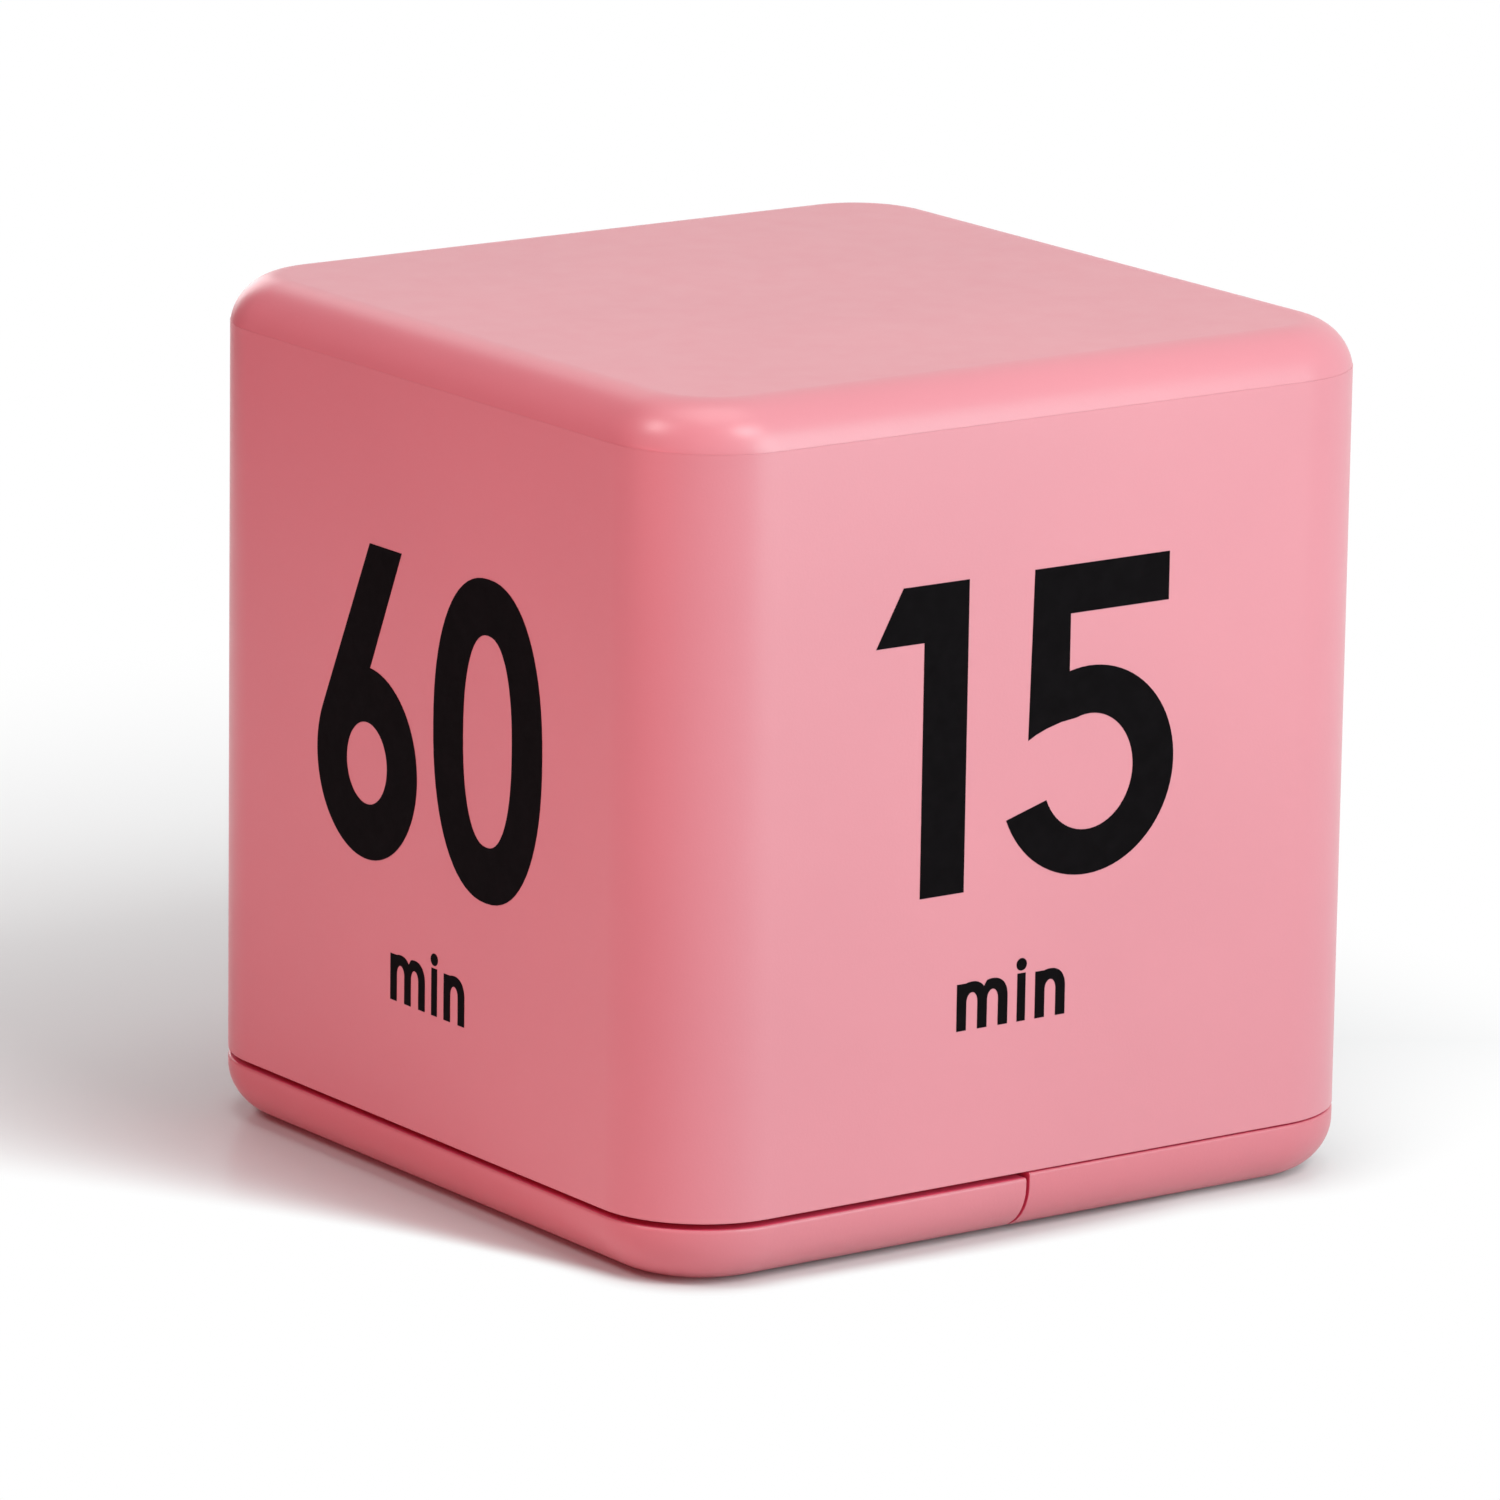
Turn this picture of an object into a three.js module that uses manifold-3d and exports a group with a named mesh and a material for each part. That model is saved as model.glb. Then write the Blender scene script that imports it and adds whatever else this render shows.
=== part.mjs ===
// A cube timer: turned to rest with a number on top, it counts that many minutes down.
// Every piece that it comes apart into on a bench is a mesh of its own.
// Millimetres, +Z up. The origin is the middle of the underside, where the cube stands.
// The face with the 15 looks along -Y, and the face with the 60 looks along -X.

import * as THREE from "three";
import { mergeVertices } from "three/addons/utils/BufferGeometryUtils.js";
import Module from "manifold-3d";

const wasm = await Module();
wasm.setup();

// The moulded shells; the cube's side follows from the cells and the room at the tray's ends
const cornerRadius = 8.4;
const edgeRadius = 4;
const wall = 2.2;
const topSeamDrop = 3.35;
const topSeamGap = 0.12;
const lipThickness = 1.2;
const lipReach = 2.2;

// Clearances
const fitGap = 0.2;
const glueLine = 0.05;
const weld = 0.3;
const overrun = 1;

// The battery door, which is the -X half of the base
const doorHeight = 4.4;
const doorSeam = 0.45;
const partingGap = 0.25;
const railThickness = 0.8;
const railReach = 1.3;
const railClearance = 0.3;
const tongueWidth = 6;
const tongueThickness = 0.8;
const tongueReach = 1.2;
const tongueInset = 10.4;
const gripGrooves = 5;
const gripLength = 18;
const gripWidth = 0.9;
const gripDepth = 0.5;
const gripPitch = 2;
const gripInset = 10;

// The cells, which are the AAA size
const cellDiameter = 10.5;
const cellLength = 44.5;
const cellRim = 0.5;
const nubDiameter = 3.8;
const nubLength = 1;
const cellLift = 0.4;
const cellSpacing = 0.9;

// The battery tray, moulded in one with the base cover, and the room between it and the walls
const railRoom = 2.1;
const hookRoom = 4.5;
const trayWall = 1.6;
const trayFoot = 0.8;
const troughClearance = 0.25;
const contactPocket = 1;
const hookLength = 7;
const hookThickness = 1.2;
const hookSpacing = 24;
const hookGap = 0.5;
const ledgeLength = 10;
const ledgeDepth = 2.4;
const ledgeThickness = 1.4;

// The battery contacts, stamped from plate with coils of spring wire
const plateThickness = 0.4;
const plateWidth = 8.6;
const plateHeight = 8;
const dimpleDiameter = 4.4;
const dimpleDepth = 1;
const tabWidth = 2.4;
const tabReach = 1.6;
const coilLength = 4.6;
const coilWire = 0.6;
const coilWideRadius = 3.4;
const coilNarrowRadius = 2.2;
const coilTurns = 3.5;

// The screws that hold the base to the walls, and what they pass through
const caseScrewInset = 5.55;
const caseScrewShank = 2.4;
const caseScrewLength = 13;
const caseScrewHead = 4.4;
const caseScrewHeadHeight = 1.6;
const recessDiameter = 5;
const recessDepth = 3.2;
const postDiameter = 6.6;
const postHeight = 3.8;
const bossDiameter = 6;
const bossLength = 15;
const bossRib = 1.2;

// The display, which fills the room between the switch, the sounder, the tray and a standoff
const displayGap = 1.2;
const displayTrayGap = 4;
const holderWall = 1;
const glassThickness = 1.1;
const contactLedge = 2.6;
const stripWidth = 1.8;
const stripInset = 1.5;
const windowMargin = 1.5;
const windowThickness = 1;
const windowSetback = 0.1;
const windowLedge = 1.2;
const windowCorner = 1;

// The power switch
const switchInset = 1.55;
const switchTravel = 2;
const switchPocketLength = 8;
const switchPocketWidth = 5;
const switchPocketDepth = 1.15;
const knobLength = 5;
const knobWidth = 4.2;
const knobThickness = 0.7;
const knobSetback = 0.2;
const knobRibs = 3;
const knobRibDepth = 0.25;
const knobRibWidth = 0.5;
const knobRibPitch = 1.3;
const stemSide = 2.4;
const stemHeight = 3.6;
const socketDepth = 1.8;
const leverSide = 1.2;
const sliderLength = 2.8;
const sliderWidth = 1.9;
const sliderHeight = 1.8;
const housingLength = 8.2;
const housingWidth = 3.8;
const housingHeight = 3.2;
const housingSkin = 0.4;

// The sounder
const sounderGap = 0.3;
const sounderDiameter = 14.4;
const sounderThickness = 0.25;
const ceramicDiameter = 10;
const ceramicThickness = 0.25;
const sounderRingWall = 1.2;
const sounderRingHeight = 1.4;
const soundHoleDiameter = 1.6;
const soundHolePitch = 3;
const soundHolesRound = 6;

// The circuit board and what holds it
const boardHeight = 8.5;
const boardThickness = 1.6;
const boardMargin = 1.9;
const boardTrayGap = 0.4;
const notchClearance = 0.5;
const standoffDiameter = 4.2;
const standoffInsetX = 3.2;
const standoffInsetY = 3.6;
const pilotDepth = 5;
const boardScrewShank = 1.6;
const boardScrewLength = 4;
const boardScrewHead = 3.4;
const boardScrewHeadHeight = 1.1;

// Parts on the board
const chipDiameter = 8;
const chipHeight = 1.7;
const crystalDiameter = 2;
const crystalLength = 6;
const capacitorDiameter = 5;
const capacitorHeight = 7;
const coilCoreDiameter = 5.6;
const coilWaistDiameter = 3.6;
const coilCoreHeight = 4.4;
const coilFlange = 0.8;
const partGap = 1.2;
const edgeGap = 0.5;

// The four ball tilt switches
const tiltAngle = THREE.MathUtils.degToRad(10);
const canDiameter = 4.4;
const canLength = 7.4;
const canWall = 0.25;
const canStandoff = 0.5;
const plugDepth = 1.2;
const plugFlange = 1;
const ballDiameter = 3.2;
const legDiameter = 0.5;
const legSpacing = 2;
const legReach = 0.8;
const legThrough = 0.1;

// Wires
const leadDiameter = 1.2;
const leadRise = 2;
const sounderWireDiameter = 0.8;

// How finely round shapes are divided
const cornerSteps = 6;
const edgeSteps = 7;
const roundSides = 24;
const smallSides = 14;
const pinSides = 8;
const wireSteps = 22;
const legSteps = 6;
const coilStepsPerTurn = 8;
const coilSides = 5;
const domeSteps = 5;

// Heights and edges that follow from the sizes above
const cellRadius = cellDiameter / 2;
const contactStack = plateThickness + fitGap;
const trayInnerHalf = (2 * contactStack + coilLength + cellLength + dimpleDepth + 2 * fitGap) / 2;
const trayHalf = trayInnerHalf + trayWall;
const innerHalf = trayHalf + railRoom;
const half = innerHalf + wall;
const cubeSide = 2 * half;
const flatHalf = half - edgeRadius;
const innerRadius = cornerRadius - wall;
const straightHalf = innerHalf - innerRadius;
const wallsBottom = doorHeight + doorSeam;
const baseRimTop = wallsBottom - fitGap;
const topSeam = cubeSide - topSeamDrop;
const wallsTop = topSeam - topSeamGap;
const lipOuter = innerHalf - fitGap;
const lipInner = lipOuter - lipThickness;
const lipInnerRadius = innerRadius - fitGap - lipThickness;

const troughRadius = cellRadius + troughClearance;
const trayLeft = hookRoom - innerHalf;
const trayInnerLeft = trayLeft + trayWall;
const farCell = trayInnerLeft + troughRadius;
const nearCell = farCell + cellDiameter + cellSpacing;
const trayInnerRight = nearCell + troughRadius;
const trayRight = trayInnerRight + trayWall;
const baseEdge = trayRight - trayFoot;
const doorEdge = baseEdge - partingGap;
const cellAxis = wall + cellLift + cellRadius;
const trayBottom = wall + railClearance;
const trayTop = cellAxis + troughRadius + trayWall;
const plateOuter = trayInnerHalf - fitGap;
const plateInner = plateOuter - plateThickness;
const plateTop = cellAxis + plateHeight / 2;
const pocketTop = plateTop + fitGap;
const tabTop = trayTop + tabReach;
const hookBottom = wallsBottom + ledgeThickness + lipThickness + fitGap;
const tonguePlace = trayHalf - tongueInset;

const caseScrewPlace = innerHalf - caseScrewInset;
const boardBottom = boardHeight;
const boardTop = boardBottom + boardThickness;
const boardLeft = trayRight + boardTrayGap;
const boardRight = innerHalf - boardMargin;
const boardHalf = innerHalf - boardMargin;
const notchPlace = caseScrewPlace - bossDiameter / 2 - notchClearance;
const sideStandoff = boardRight - fitGap - standoffDiameter / 2;
const standoffs = [
  [boardLeft + standoffInsetX, standoffInsetY - boardHalf],
  [boardLeft + standoffInsetX, boardHalf - standoffInsetY],
  [sideStandoff, 0],
];

const holderLeft = boardLeft + displayTrayGap;
const holderRight = sideStandoff - standoffDiameter / 2 - displayGap;
const baseMiddle = (holderLeft + holderRight) / 2;
const switchPlace = switchPocketLength / 2 + switchInset - flatHalf;
const sounderRadius = sounderDiameter / 2;
const sounderClear = sounderRadius + postDiameter / 2 + sounderGap;
const sounderAside = caseScrewPlace - baseMiddle;
const sounderPlace = Math.min(
  caseScrewPlace - Math.sqrt(Math.max(0, sounderClear ** 2 - sounderAside ** 2)),
  lipInner - sounderRadius - sounderGap,
);
const holderStart = switchPlace + Math.max(housingLength, switchPocketLength) / 2 + displayGap;
const holderEnd = sounderPlace - sounderRadius - displayGap;
const displayPlace = (holderStart + holderEnd) / 2;
const glassWidth = holderRight - holderLeft - 2 * (holderWall + fitGap);
const glassLength = holderEnd - holderStart - 2 * (holderWall + fitGap);
const stripLength = glassLength - 2 * stripInset;
const windowWidth = glassWidth - 2 * windowMargin;
const windowLength = glassLength - 2 * windowMargin;

const frontGlassBottom = wall + fitGap;
const frontGlassTop = frontGlassBottom + glassThickness;
const rearGlassBottom = frontGlassTop + glueLine;
const partsTop = boardBottom - fitGap;
const windowBottom = windowSetback;
const windowPocketTop = windowBottom + windowThickness + glueLine;

const housingBottom = partsTop - housingHeight;
const sliderBottom = housingBottom + housingSkin + fitGap;
const knobBottom = knobSetback;
const knobTop = knobBottom + knobThickness;
const stemTop = knobTop + stemHeight;
const leverBottom = stemTop - socketDepth + fitGap;
const switchRest = switchPlace - switchTravel / 2;

const ringTop = wall + sounderRingHeight;
const discBottom = ringTop + glueLine;
const discTop = discBottom + sounderThickness;
const ceramicTop = discTop + glueLine + ceramicThickness;

const postTop = wall + postHeight;
const bossBottom = postTop + fitGap;
const bossTop = bossBottom + bossLength;
const screwSeat = recessDepth - glueLine;

const canRadius = canDiameter / 2;
const ballRadius = ballDiameter / 2;
const canHeight = canRadius * Math.cos(tiltAngle) + (canLength / 2) * Math.sin(tiltAngle) + canStandoff;
const ballRest = canWall + fitGap + ballRadius - canLength / 2;
const plugOuter = canLength / 2 + glueLine + plugFlange;
const legEnd = plugOuter * Math.cos(tiltAngle) + legReach;

// Places on the board: the chip's row in the middle, a row on each side of it, and one at each end
const chipPlace = [boardLeft + edgeGap + chipDiameter / 2, 0];
const crystalPlace = [chipPlace[0] + chipDiameter / 2 + partGap + crystalDiameter / 2, 0];
const firstRow = chipDiameter / 2 + partGap + canRadius;
const endRow = boardHalf - edgeGap - legDiameter - legEnd;
const columnPlace = notchPlace - canRadius - edgeGap;
const smallPartRow = firstRow + canRadius + partGap + coilCoreDiameter / 2;
const coilPlace = [boardLeft + edgeGap + coilCoreDiameter / 2, smallPartRow];
const capacitorPlace = [boardLeft + edgeGap + capacitorDiameter / 2, -smallPartRow];
const leadRow = -smallPartRow - capacitorDiameter / 2 - partGap - leadDiameter / 2;
const redLeadPlace = [boardLeft + edgeGap + leadDiameter, leadRow];
const blackLeadPlace = [redLeadPlace[0] + leadDiameter + partGap, leadRow];
const tiltPlaces = [
  { x: boardLeft + edgeGap + canLength, y: firstRow, heading: 0 },
  { x: columnPlace, y: endRow, heading: 0.5 * Math.PI },
  { x: boardLeft + edgeGap + legEnd + legDiameter, y: -firstRow, heading: Math.PI },
  { x: columnPlace, y: -endRow, heading: 1.5 * Math.PI },
];

// Materials, with colours as they look on the cube
function material(color, roughness, metalness) {
  return new THREE.MeshStandardMaterial({ color, roughness, metalness });
}

const pinkPlastic = material(0xe88f9b, 0.42, 0);
const trayPlastic = material(0xdf8592, 0.5, 0);
const clearPlastic = material(0xc9d0d4, 0.1, 0);
const knobPlastic = material(0x2a2a2e, 0.5, 0);
const whitePlastic = material(0xe9e7e0, 0.5, 0);
const liquidGlass = material(0xa9b39c, 0.15, 0);
const stripRubber = material(0xd8a0a8, 0.7, 0);
const boardLaminate = material(0x1d6b3c, 0.45, 0);
const blackResin = material(0x111113, 0.35, 0);
const nickel = material(0xc8c8c6, 0.3, 1);
const steel = material(0xb9bbbe, 0.35, 1);
const brass = material(0xc9a24a, 0.35, 1);
const ceramic = material(0xe6e2d6, 0.6, 0);
const cellSleeve = material(0x3b4148, 0.35, 0.6);
const capacitorSleeve = material(0x22314f, 0.35, 0.2);
const ferrite = material(0x2c2b2c, 0.7, 0);
const redInsulation = material(0xb3201f, 0.5, 0);
const blackInsulation = material(0x161617, 0.5, 0);

// A closed geometry as a solid that can be cut and joined.
function solidOf(geometry) {
  const bare = geometry.clone();
  bare.deleteAttribute("normal");
  bare.deleteAttribute("uv");
  const merged = mergeVertices(bare);
  return new wasm.Manifold(
    new wasm.Mesh({
      numProp: 3,
      vertProperties: merged.getAttribute("position").array,
      triVerts: new Uint32Array(merged.index.array),
    }),
  );
}

// A solid as a geometry with flat-shaded faces.
function geometryOf(solid) {
  const { vertProperties, triVerts } = solid.getMesh();
  const indexed = new THREE.BufferGeometry();
  indexed.setAttribute("position", new THREE.BufferAttribute(vertProperties, 3));
  indexed.setIndex(new THREE.BufferAttribute(triVerts, 1));
  const faceted = indexed.toNonIndexed();
  faceted.computeVertexNormals();
  return faceted;
}

// The solid with every one of the tools joined to it.
function joined(solid, tools) {
  return tools.reduce((whole, tool) => whole.add(tool), solid);
}

// The solid with every one of the tools cut from it.
function cut(solid, tools) {
  return tools.reduce((rest, tool) => rest.subtract(tool), solid);
}

// A rectangle with round corners, centred on the origin.
function roundedOutline(sizeX, sizeY, radius) {
  const x = sizeX / 2 - radius;
  const y = sizeY / 2 - radius;
  const outline = new THREE.Shape();
  outline.absarc(x, y, radius, 0, 0.5 * Math.PI);
  outline.absarc(-x, y, radius, 0.5 * Math.PI, Math.PI);
  outline.absarc(-x, -y, radius, Math.PI, 1.5 * Math.PI);
  outline.absarc(x, -y, radius, 1.5 * Math.PI, 2 * Math.PI);
  outline.closePath();
  return outline;
}

// An outline drawn straight up from bottom to top.
function prismGeometry(outline, bottom, top) {
  const geometry = new THREE.ExtrudeGeometry(outline, {
    depth: top - bottom,
    bevelEnabled: false,
    curveSegments: cornerSteps,
  });
  return geometry.translate(0, 0, bottom);
}

// A prism as a solid.
function prism(outline, bottom, top) {
  return solidOf(prismGeometry(outline, bottom, top));
}

// A square prism with round corners, centred on the Z axis.
function squarePrism(halfSide, radius, bottom, top) {
  return prism(roundedOutline(2 * halfSide, 2 * halfSide, radius), bottom, top);
}

// A box between two corners.
function boxGeometry(x0, x1, y0, y1, z0, z1) {
  const geometry = new THREE.BoxGeometry(x1 - x0, y1 - y0, z1 - z0);
  return geometry.translate((x0 + x1) / 2, (y0 + y1) / 2, (z0 + z1) / 2);
}

// A box between two corners, as a solid.
function box(x0, x1, y0, y1, z0, z1) {
  return solidOf(boxGeometry(x0, x1, y0, y1, z0, z1));
}

// A box centred on a point in plan, as a solid.
function block(x, y, sizeX, sizeY, z0, z1) {
  return box(x - sizeX / 2, x + sizeX / 2, y - sizeY / 2, y + sizeY / 2, z0, z1);
}

// An upright cylinder, as a solid.
function post(x, y, diameter, z0, z1, sides) {
  const geometry = new THREE.CylinderGeometry(diameter / 2, diameter / 2, z1 - z0, sides);
  geometry.rotateX(Math.PI / 2);
  return solidOf(geometry.translate(x, y, (z0 + z1) / 2));
}

// A cylinder along Y, as a solid.
function bar(x, z, diameter, y0, y1, sides) {
  const geometry = new THREE.CylinderGeometry(diameter / 2, diameter / 2, y1 - y0, sides);
  return solidOf(geometry.translate(x, (y0 + y1) / 2, z));
}

// A round section carried along a curve, with both ends closed.
function tubeGeometry(path, diameter, steps, sides) {
  const corners = Array.from({ length: sides }, (_, i) => {
    const angle = (2 * Math.PI * i) / sides;
    return new THREE.Vector2(Math.cos(angle), Math.sin(angle)).multiplyScalar(diameter / 2);
  });
  return new THREE.ExtrudeGeometry(new THREE.Shape(corners), { steps, extrudePath: path });
}

// A profile of [radius, height] points turned round the Z axis.
function turned(profile, sides) {
  const points = profile.map(([radius, height]) => new THREE.Vector2(radius, height));
  return new THREE.LatheGeometry(points, sides).rotateX(Math.PI / 2);
}

// A named mesh.
function piece(name, geometry, finish) {
  const mesh = new THREE.Mesh(geometry, finish);
  mesh.name = name;
  return mesh;
}

// A group of meshes and groups.
function groupOf(...members) {
  const group = new THREE.Group();
  group.add(...members);
  return group;
}

// The whole cube's outside, with all its edges rounded.
function cubeForm() {
  const geometry = new THREE.ExtrudeGeometry(roundedOutline(cubeSide, cubeSide, cornerRadius), {
    depth: cubeSide - 2 * edgeRadius,
    bevelThickness: edgeRadius,
    bevelSize: edgeRadius,
    bevelOffset: -edgeRadius,
    bevelSegments: edgeSteps,
    curveSegments: cornerSteps,
  });
  return solidOf(geometry.translate(0, 0, edgeRadius));
}

// The part of the cube's outside between two heights and to one side of an upright cut.
function shellBlank(bottom, top, left, right) {
  return cubeForm().intersect(box(left, right, -cubeSide, cubeSide, bottom, top));
}

// The two places of the case screws, both on the fixed half.
const caseScrewPlaces = [-1, 1].map((side) => [caseScrewPlace, side * caseScrewPlace]);

// The four walls, with the screw bosses and the ledges that the tray's hooks catch.
function bodyShell() {
  const outside = shellBlank(wallsBottom, wallsTop, -cubeSide, cubeSide);
  const hollow = squarePrism(innerHalf, innerRadius, wallsBottom - overrun, wallsTop + overrun);
  const bosses = caseScrewPlaces.flatMap(([x, y]) => {
    const side = Math.sign(y);
    const ribBottom = baseRimTop + lipReach + fitGap;
    const reach = innerHalf + weld;
    const low = Math.min(y, side * reach);
    const high = Math.max(y, side * reach);
    return [
      post(x, y, bossDiameter, bossBottom, bossTop, roundSides),
      box(x, reach, y - bossRib / 2, y + bossRib / 2, ribBottom, bossTop),
      box(x - bossRib / 2, x + bossRib / 2, low, high, ribBottom, bossTop),
    ];
  });
  const ledges = [-1, 1].map((side) => {
    const y = (side * hookSpacing) / 2;
    const top = hookBottom - fitGap;
    const reach = ledgeLength / 2;
    return box(-innerHalf - weld, ledgeDepth - innerHalf, y - reach, y + reach, top - ledgeThickness, top);
  });
  const pilotTop = screwSeat + caseScrewLength + overrun;
  const pilots = caseScrewPlaces.map(([x, y]) =>
    post(x, y, caseScrewShank + 2 * fitGap, bossBottom - overrun, pilotTop, smallSides),
  );
  return cut(joined(cut(outside, [hollow]), [...bosses, ...ledges]), pilots);
}

// The bare top, with a lip that drops inside the walls.
function topCover() {
  const outside = shellBlank(topSeam, cubeSide + overrun, -cubeSide, cubeSide);
  const lip = squarePrism(lipOuter, innerRadius - fitGap, topSeam - lipReach, topSeam + weld);
  const hollow = squarePrism(lipInner, lipInnerRadius, topSeam - lipReach - overrun, cubeSide - wall);
  return cut(joined(outside, [lip]), [hollow]);
}

// The space for the two cells: open below, and arched over each of them.
function troughs() {
  const outline = new THREE.Shape();
  outline.moveTo(trayInnerRight, trayBottom - overrun);
  outline.lineTo(trayInnerRight, cellAxis);
  outline.absarc(nearCell, cellAxis, troughRadius, 0, Math.PI);
  outline.absarc(farCell, cellAxis, troughRadius, 0, Math.PI);
  outline.lineTo(trayInnerLeft, trayBottom - overrun);
  outline.closePath();
  const geometry = prismGeometry(outline, -trayInnerHalf, trayInnerHalf);
  return solidOf(geometry.rotateX(Math.PI / 2));
}

// The troughs' walls and roof, with pockets for the contacts, rails for the door and two hooks.
function batteryTray() {
  const blank = box(trayLeft, trayRight, -trayHalf, trayHalf, trayBottom, trayTop);
  const foot = box(baseEdge, trayRight, -trayHalf, trayHalf, wall - weld, trayTop);
  const rails = [-1, 1].map((side) => {
    const inner = side * (trayHalf - weld);
    const outer = side * (innerHalf - railClearance);
    const low = Math.min(inner, outer);
    const high = Math.max(inner, outer);
    return box(-straightHalf, doorEdge, low, high, trayBottom, trayBottom + railThickness);
  });
  const hooks = [-1, 1].map((side) => {
    const y = (side * hookSpacing) / 2;
    const reach = hookLength / 2;
    const top = hookBottom + hookThickness;
    return box(hookGap - innerHalf, trayLeft + weld, y - reach, y + reach, hookBottom, top);
  });
  const pockets = [-1, 1].map((side) => {
    const outer = side * trayInnerHalf;
    const inner = side * (trayInnerHalf - contactPocket);
    const reach = plateWidth / 2 + fitGap;
    return box(
      farCell - reach, nearCell + reach, Math.min(inner, outer), Math.max(inner, outer), cellAxis, pocketTop,
    );
  });
  const tabSlots = [nearCell, farCell].map((x) =>
    box(
      x - tabWidth / 2 - fitGap, x + tabWidth / 2 + fitGap,
      -trayInnerHalf, contactPocket - trayInnerHalf, pocketTop - overrun, trayTop + overrun,
    ),
  );
  return cut(joined(blank, [foot, ...rails, ...hooks]), [troughs(), ...pockets, ...tabSlots]);
}

// The two tongues that hold the door's inner edge up, or the rebates that take them with a gap
// round them.
function tongues(left, right, gap) {
  const reach = tongueWidth / 2 + gap;
  const bottom = wall - tongueThickness - gap;
  return [-tonguePlace, tonguePlace].map((y) => box(left, right, y - reach, y + reach, bottom, wall + gap));
}

// The places of the sound holes: one in the middle and the others round it.
function soundHolePlaces() {
  const round = Array.from({ length: soundHolesRound }, (_, i) => {
    const angle = (2 * Math.PI * i) / soundHolesRound;
    return [baseMiddle + soundHolePitch * Math.cos(angle), sounderPlace + soundHolePitch * Math.sin(angle)];
  });
  return [[baseMiddle, sounderPlace], ...round];
}

// The fixed half of the base, with the tray, the lip, the posts and the openings of the underside.
function baseCover() {
  const outside = shellBlank(0, baseRimTop, baseEdge, cubeSide);
  const lip = squarePrism(lipOuter, innerRadius - fitGap, baseRimTop - weld, baseRimTop + lipReach);
  const fixedHalf = box(baseEdge, cubeSide, -cubeSide, cubeSide, 0, cubeSide);
  const hollow = squarePrism(lipInner, lipInnerRadius, wall, cubeSide);
  const plate = cut(joined(outside, [lip.intersect(fixedHalf)]), [hollow]);
  const floor = wall - weld;
  const posts = caseScrewPlaces.map(([x, y]) => post(x, y, postDiameter, floor, postTop, roundSides));
  const ring = post(baseMiddle, sounderPlace, sounderDiameter, floor, ringTop, roundSides);
  const ringBore = post(
    baseMiddle, sounderPlace, sounderDiameter - 2 * sounderRingWall, wall, ringTop + overrun, roundSides,
  );
  const columns = standoffs.map(([x, y]) => post(x, y, standoffDiameter, floor, partsTop, smallSides));
  const pilots = standoffs.map(([x, y]) =>
    post(x, y, boardScrewShank + 2 * fitGap, partsTop - pilotDepth, partsTop + overrun, smallSides),
  );
  const recesses = caseScrewPlaces.map(([x, y]) =>
    post(x, y, recessDiameter, -overrun, recessDepth, roundSides),
  );
  const screwHoles = caseScrewPlaces.map(([x, y]) =>
    post(x, y, caseScrewShank + 2 * fitGap, 0, postTop + overrun, smallSides),
  );
  const windowPocket = prism(
    roundedOutline(windowWidth, windowLength, windowCorner), -overrun, windowPocketTop,
  ).translate([baseMiddle, displayPlace, 0]);
  const view = block(
    baseMiddle, displayPlace, windowWidth - 2 * windowLedge, windowLength - 2 * windowLedge,
    0, wall + overrun,
  );
  const switchPocket = block(
    baseMiddle, switchPlace, switchPocketWidth, switchPocketLength, -overrun, switchPocketDepth,
  );
  const switchSlot = block(
    baseMiddle, switchPlace, stemSide + 2 * fitGap, stemSide + switchTravel + 2 * fitGap, 0, wall + overrun,
  );
  const soundHoles = soundHolePlaces().map(([x, y]) =>
    post(x, y, soundHoleDiameter, -overrun, wall + overrun, pinSides),
  );
  const rebates = tongues(baseEdge - overrun, trayRight + tongueReach + fitGap, fitGap);
  const solid = joined(plate, [batteryTray(), ...posts, ring, ...columns]);
  return cut(solid, [
    ringBore, ...pilots, ...recesses, ...screwHoles, windowPocket, view, switchPocket, switchSlot,
    ...soundHoles, ...rebates,
  ]);
}

// The sliding half of the base, with its rails, its two tongues and the grooves for a thumb.
function batteryDoor() {
  const outside = shellBlank(0, doorHeight, -cubeSide, doorEdge);
  const hollow = squarePrism(innerHalf, innerRadius, wall, cubeSide);
  const rails = [-1, 1].map((side) => {
    const inner = side * (innerHalf - railReach);
    const outer = side * (innerHalf + weld);
    const bottom = trayBottom + railThickness + fitGap;
    return box(-straightHalf, doorEdge, Math.min(inner, outer), Math.max(inner, outer), bottom, doorHeight);
  });
  const grooves = Array.from({ length: gripGrooves }, (_, i) => {
    const x = gripInset + i * gripPitch - half;
    return box(x - gripWidth / 2, x + gripWidth / 2, -gripLength / 2, gripLength / 2, -overrun, gripDepth);
  });
  const reachingTongues = tongues(doorEdge - weld, trayRight + tongueReach, 0);
  return cut(joined(cut(outside, [hollow]), [...rails, ...reachingTongues]), grooves);
}

// The clear window in the underside.
function displayWindow() {
  const outline = roundedOutline(windowWidth - 2 * fitGap, windowLength - 2 * fitGap, windowCorner - fitGap);
  const mesh = piece(
    "display_window", prismGeometry(outline, windowBottom, windowBottom + windowThickness), clearPlastic,
  );
  mesh.position.set(baseMiddle, displayPlace, 0);
  return mesh;
}

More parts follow.
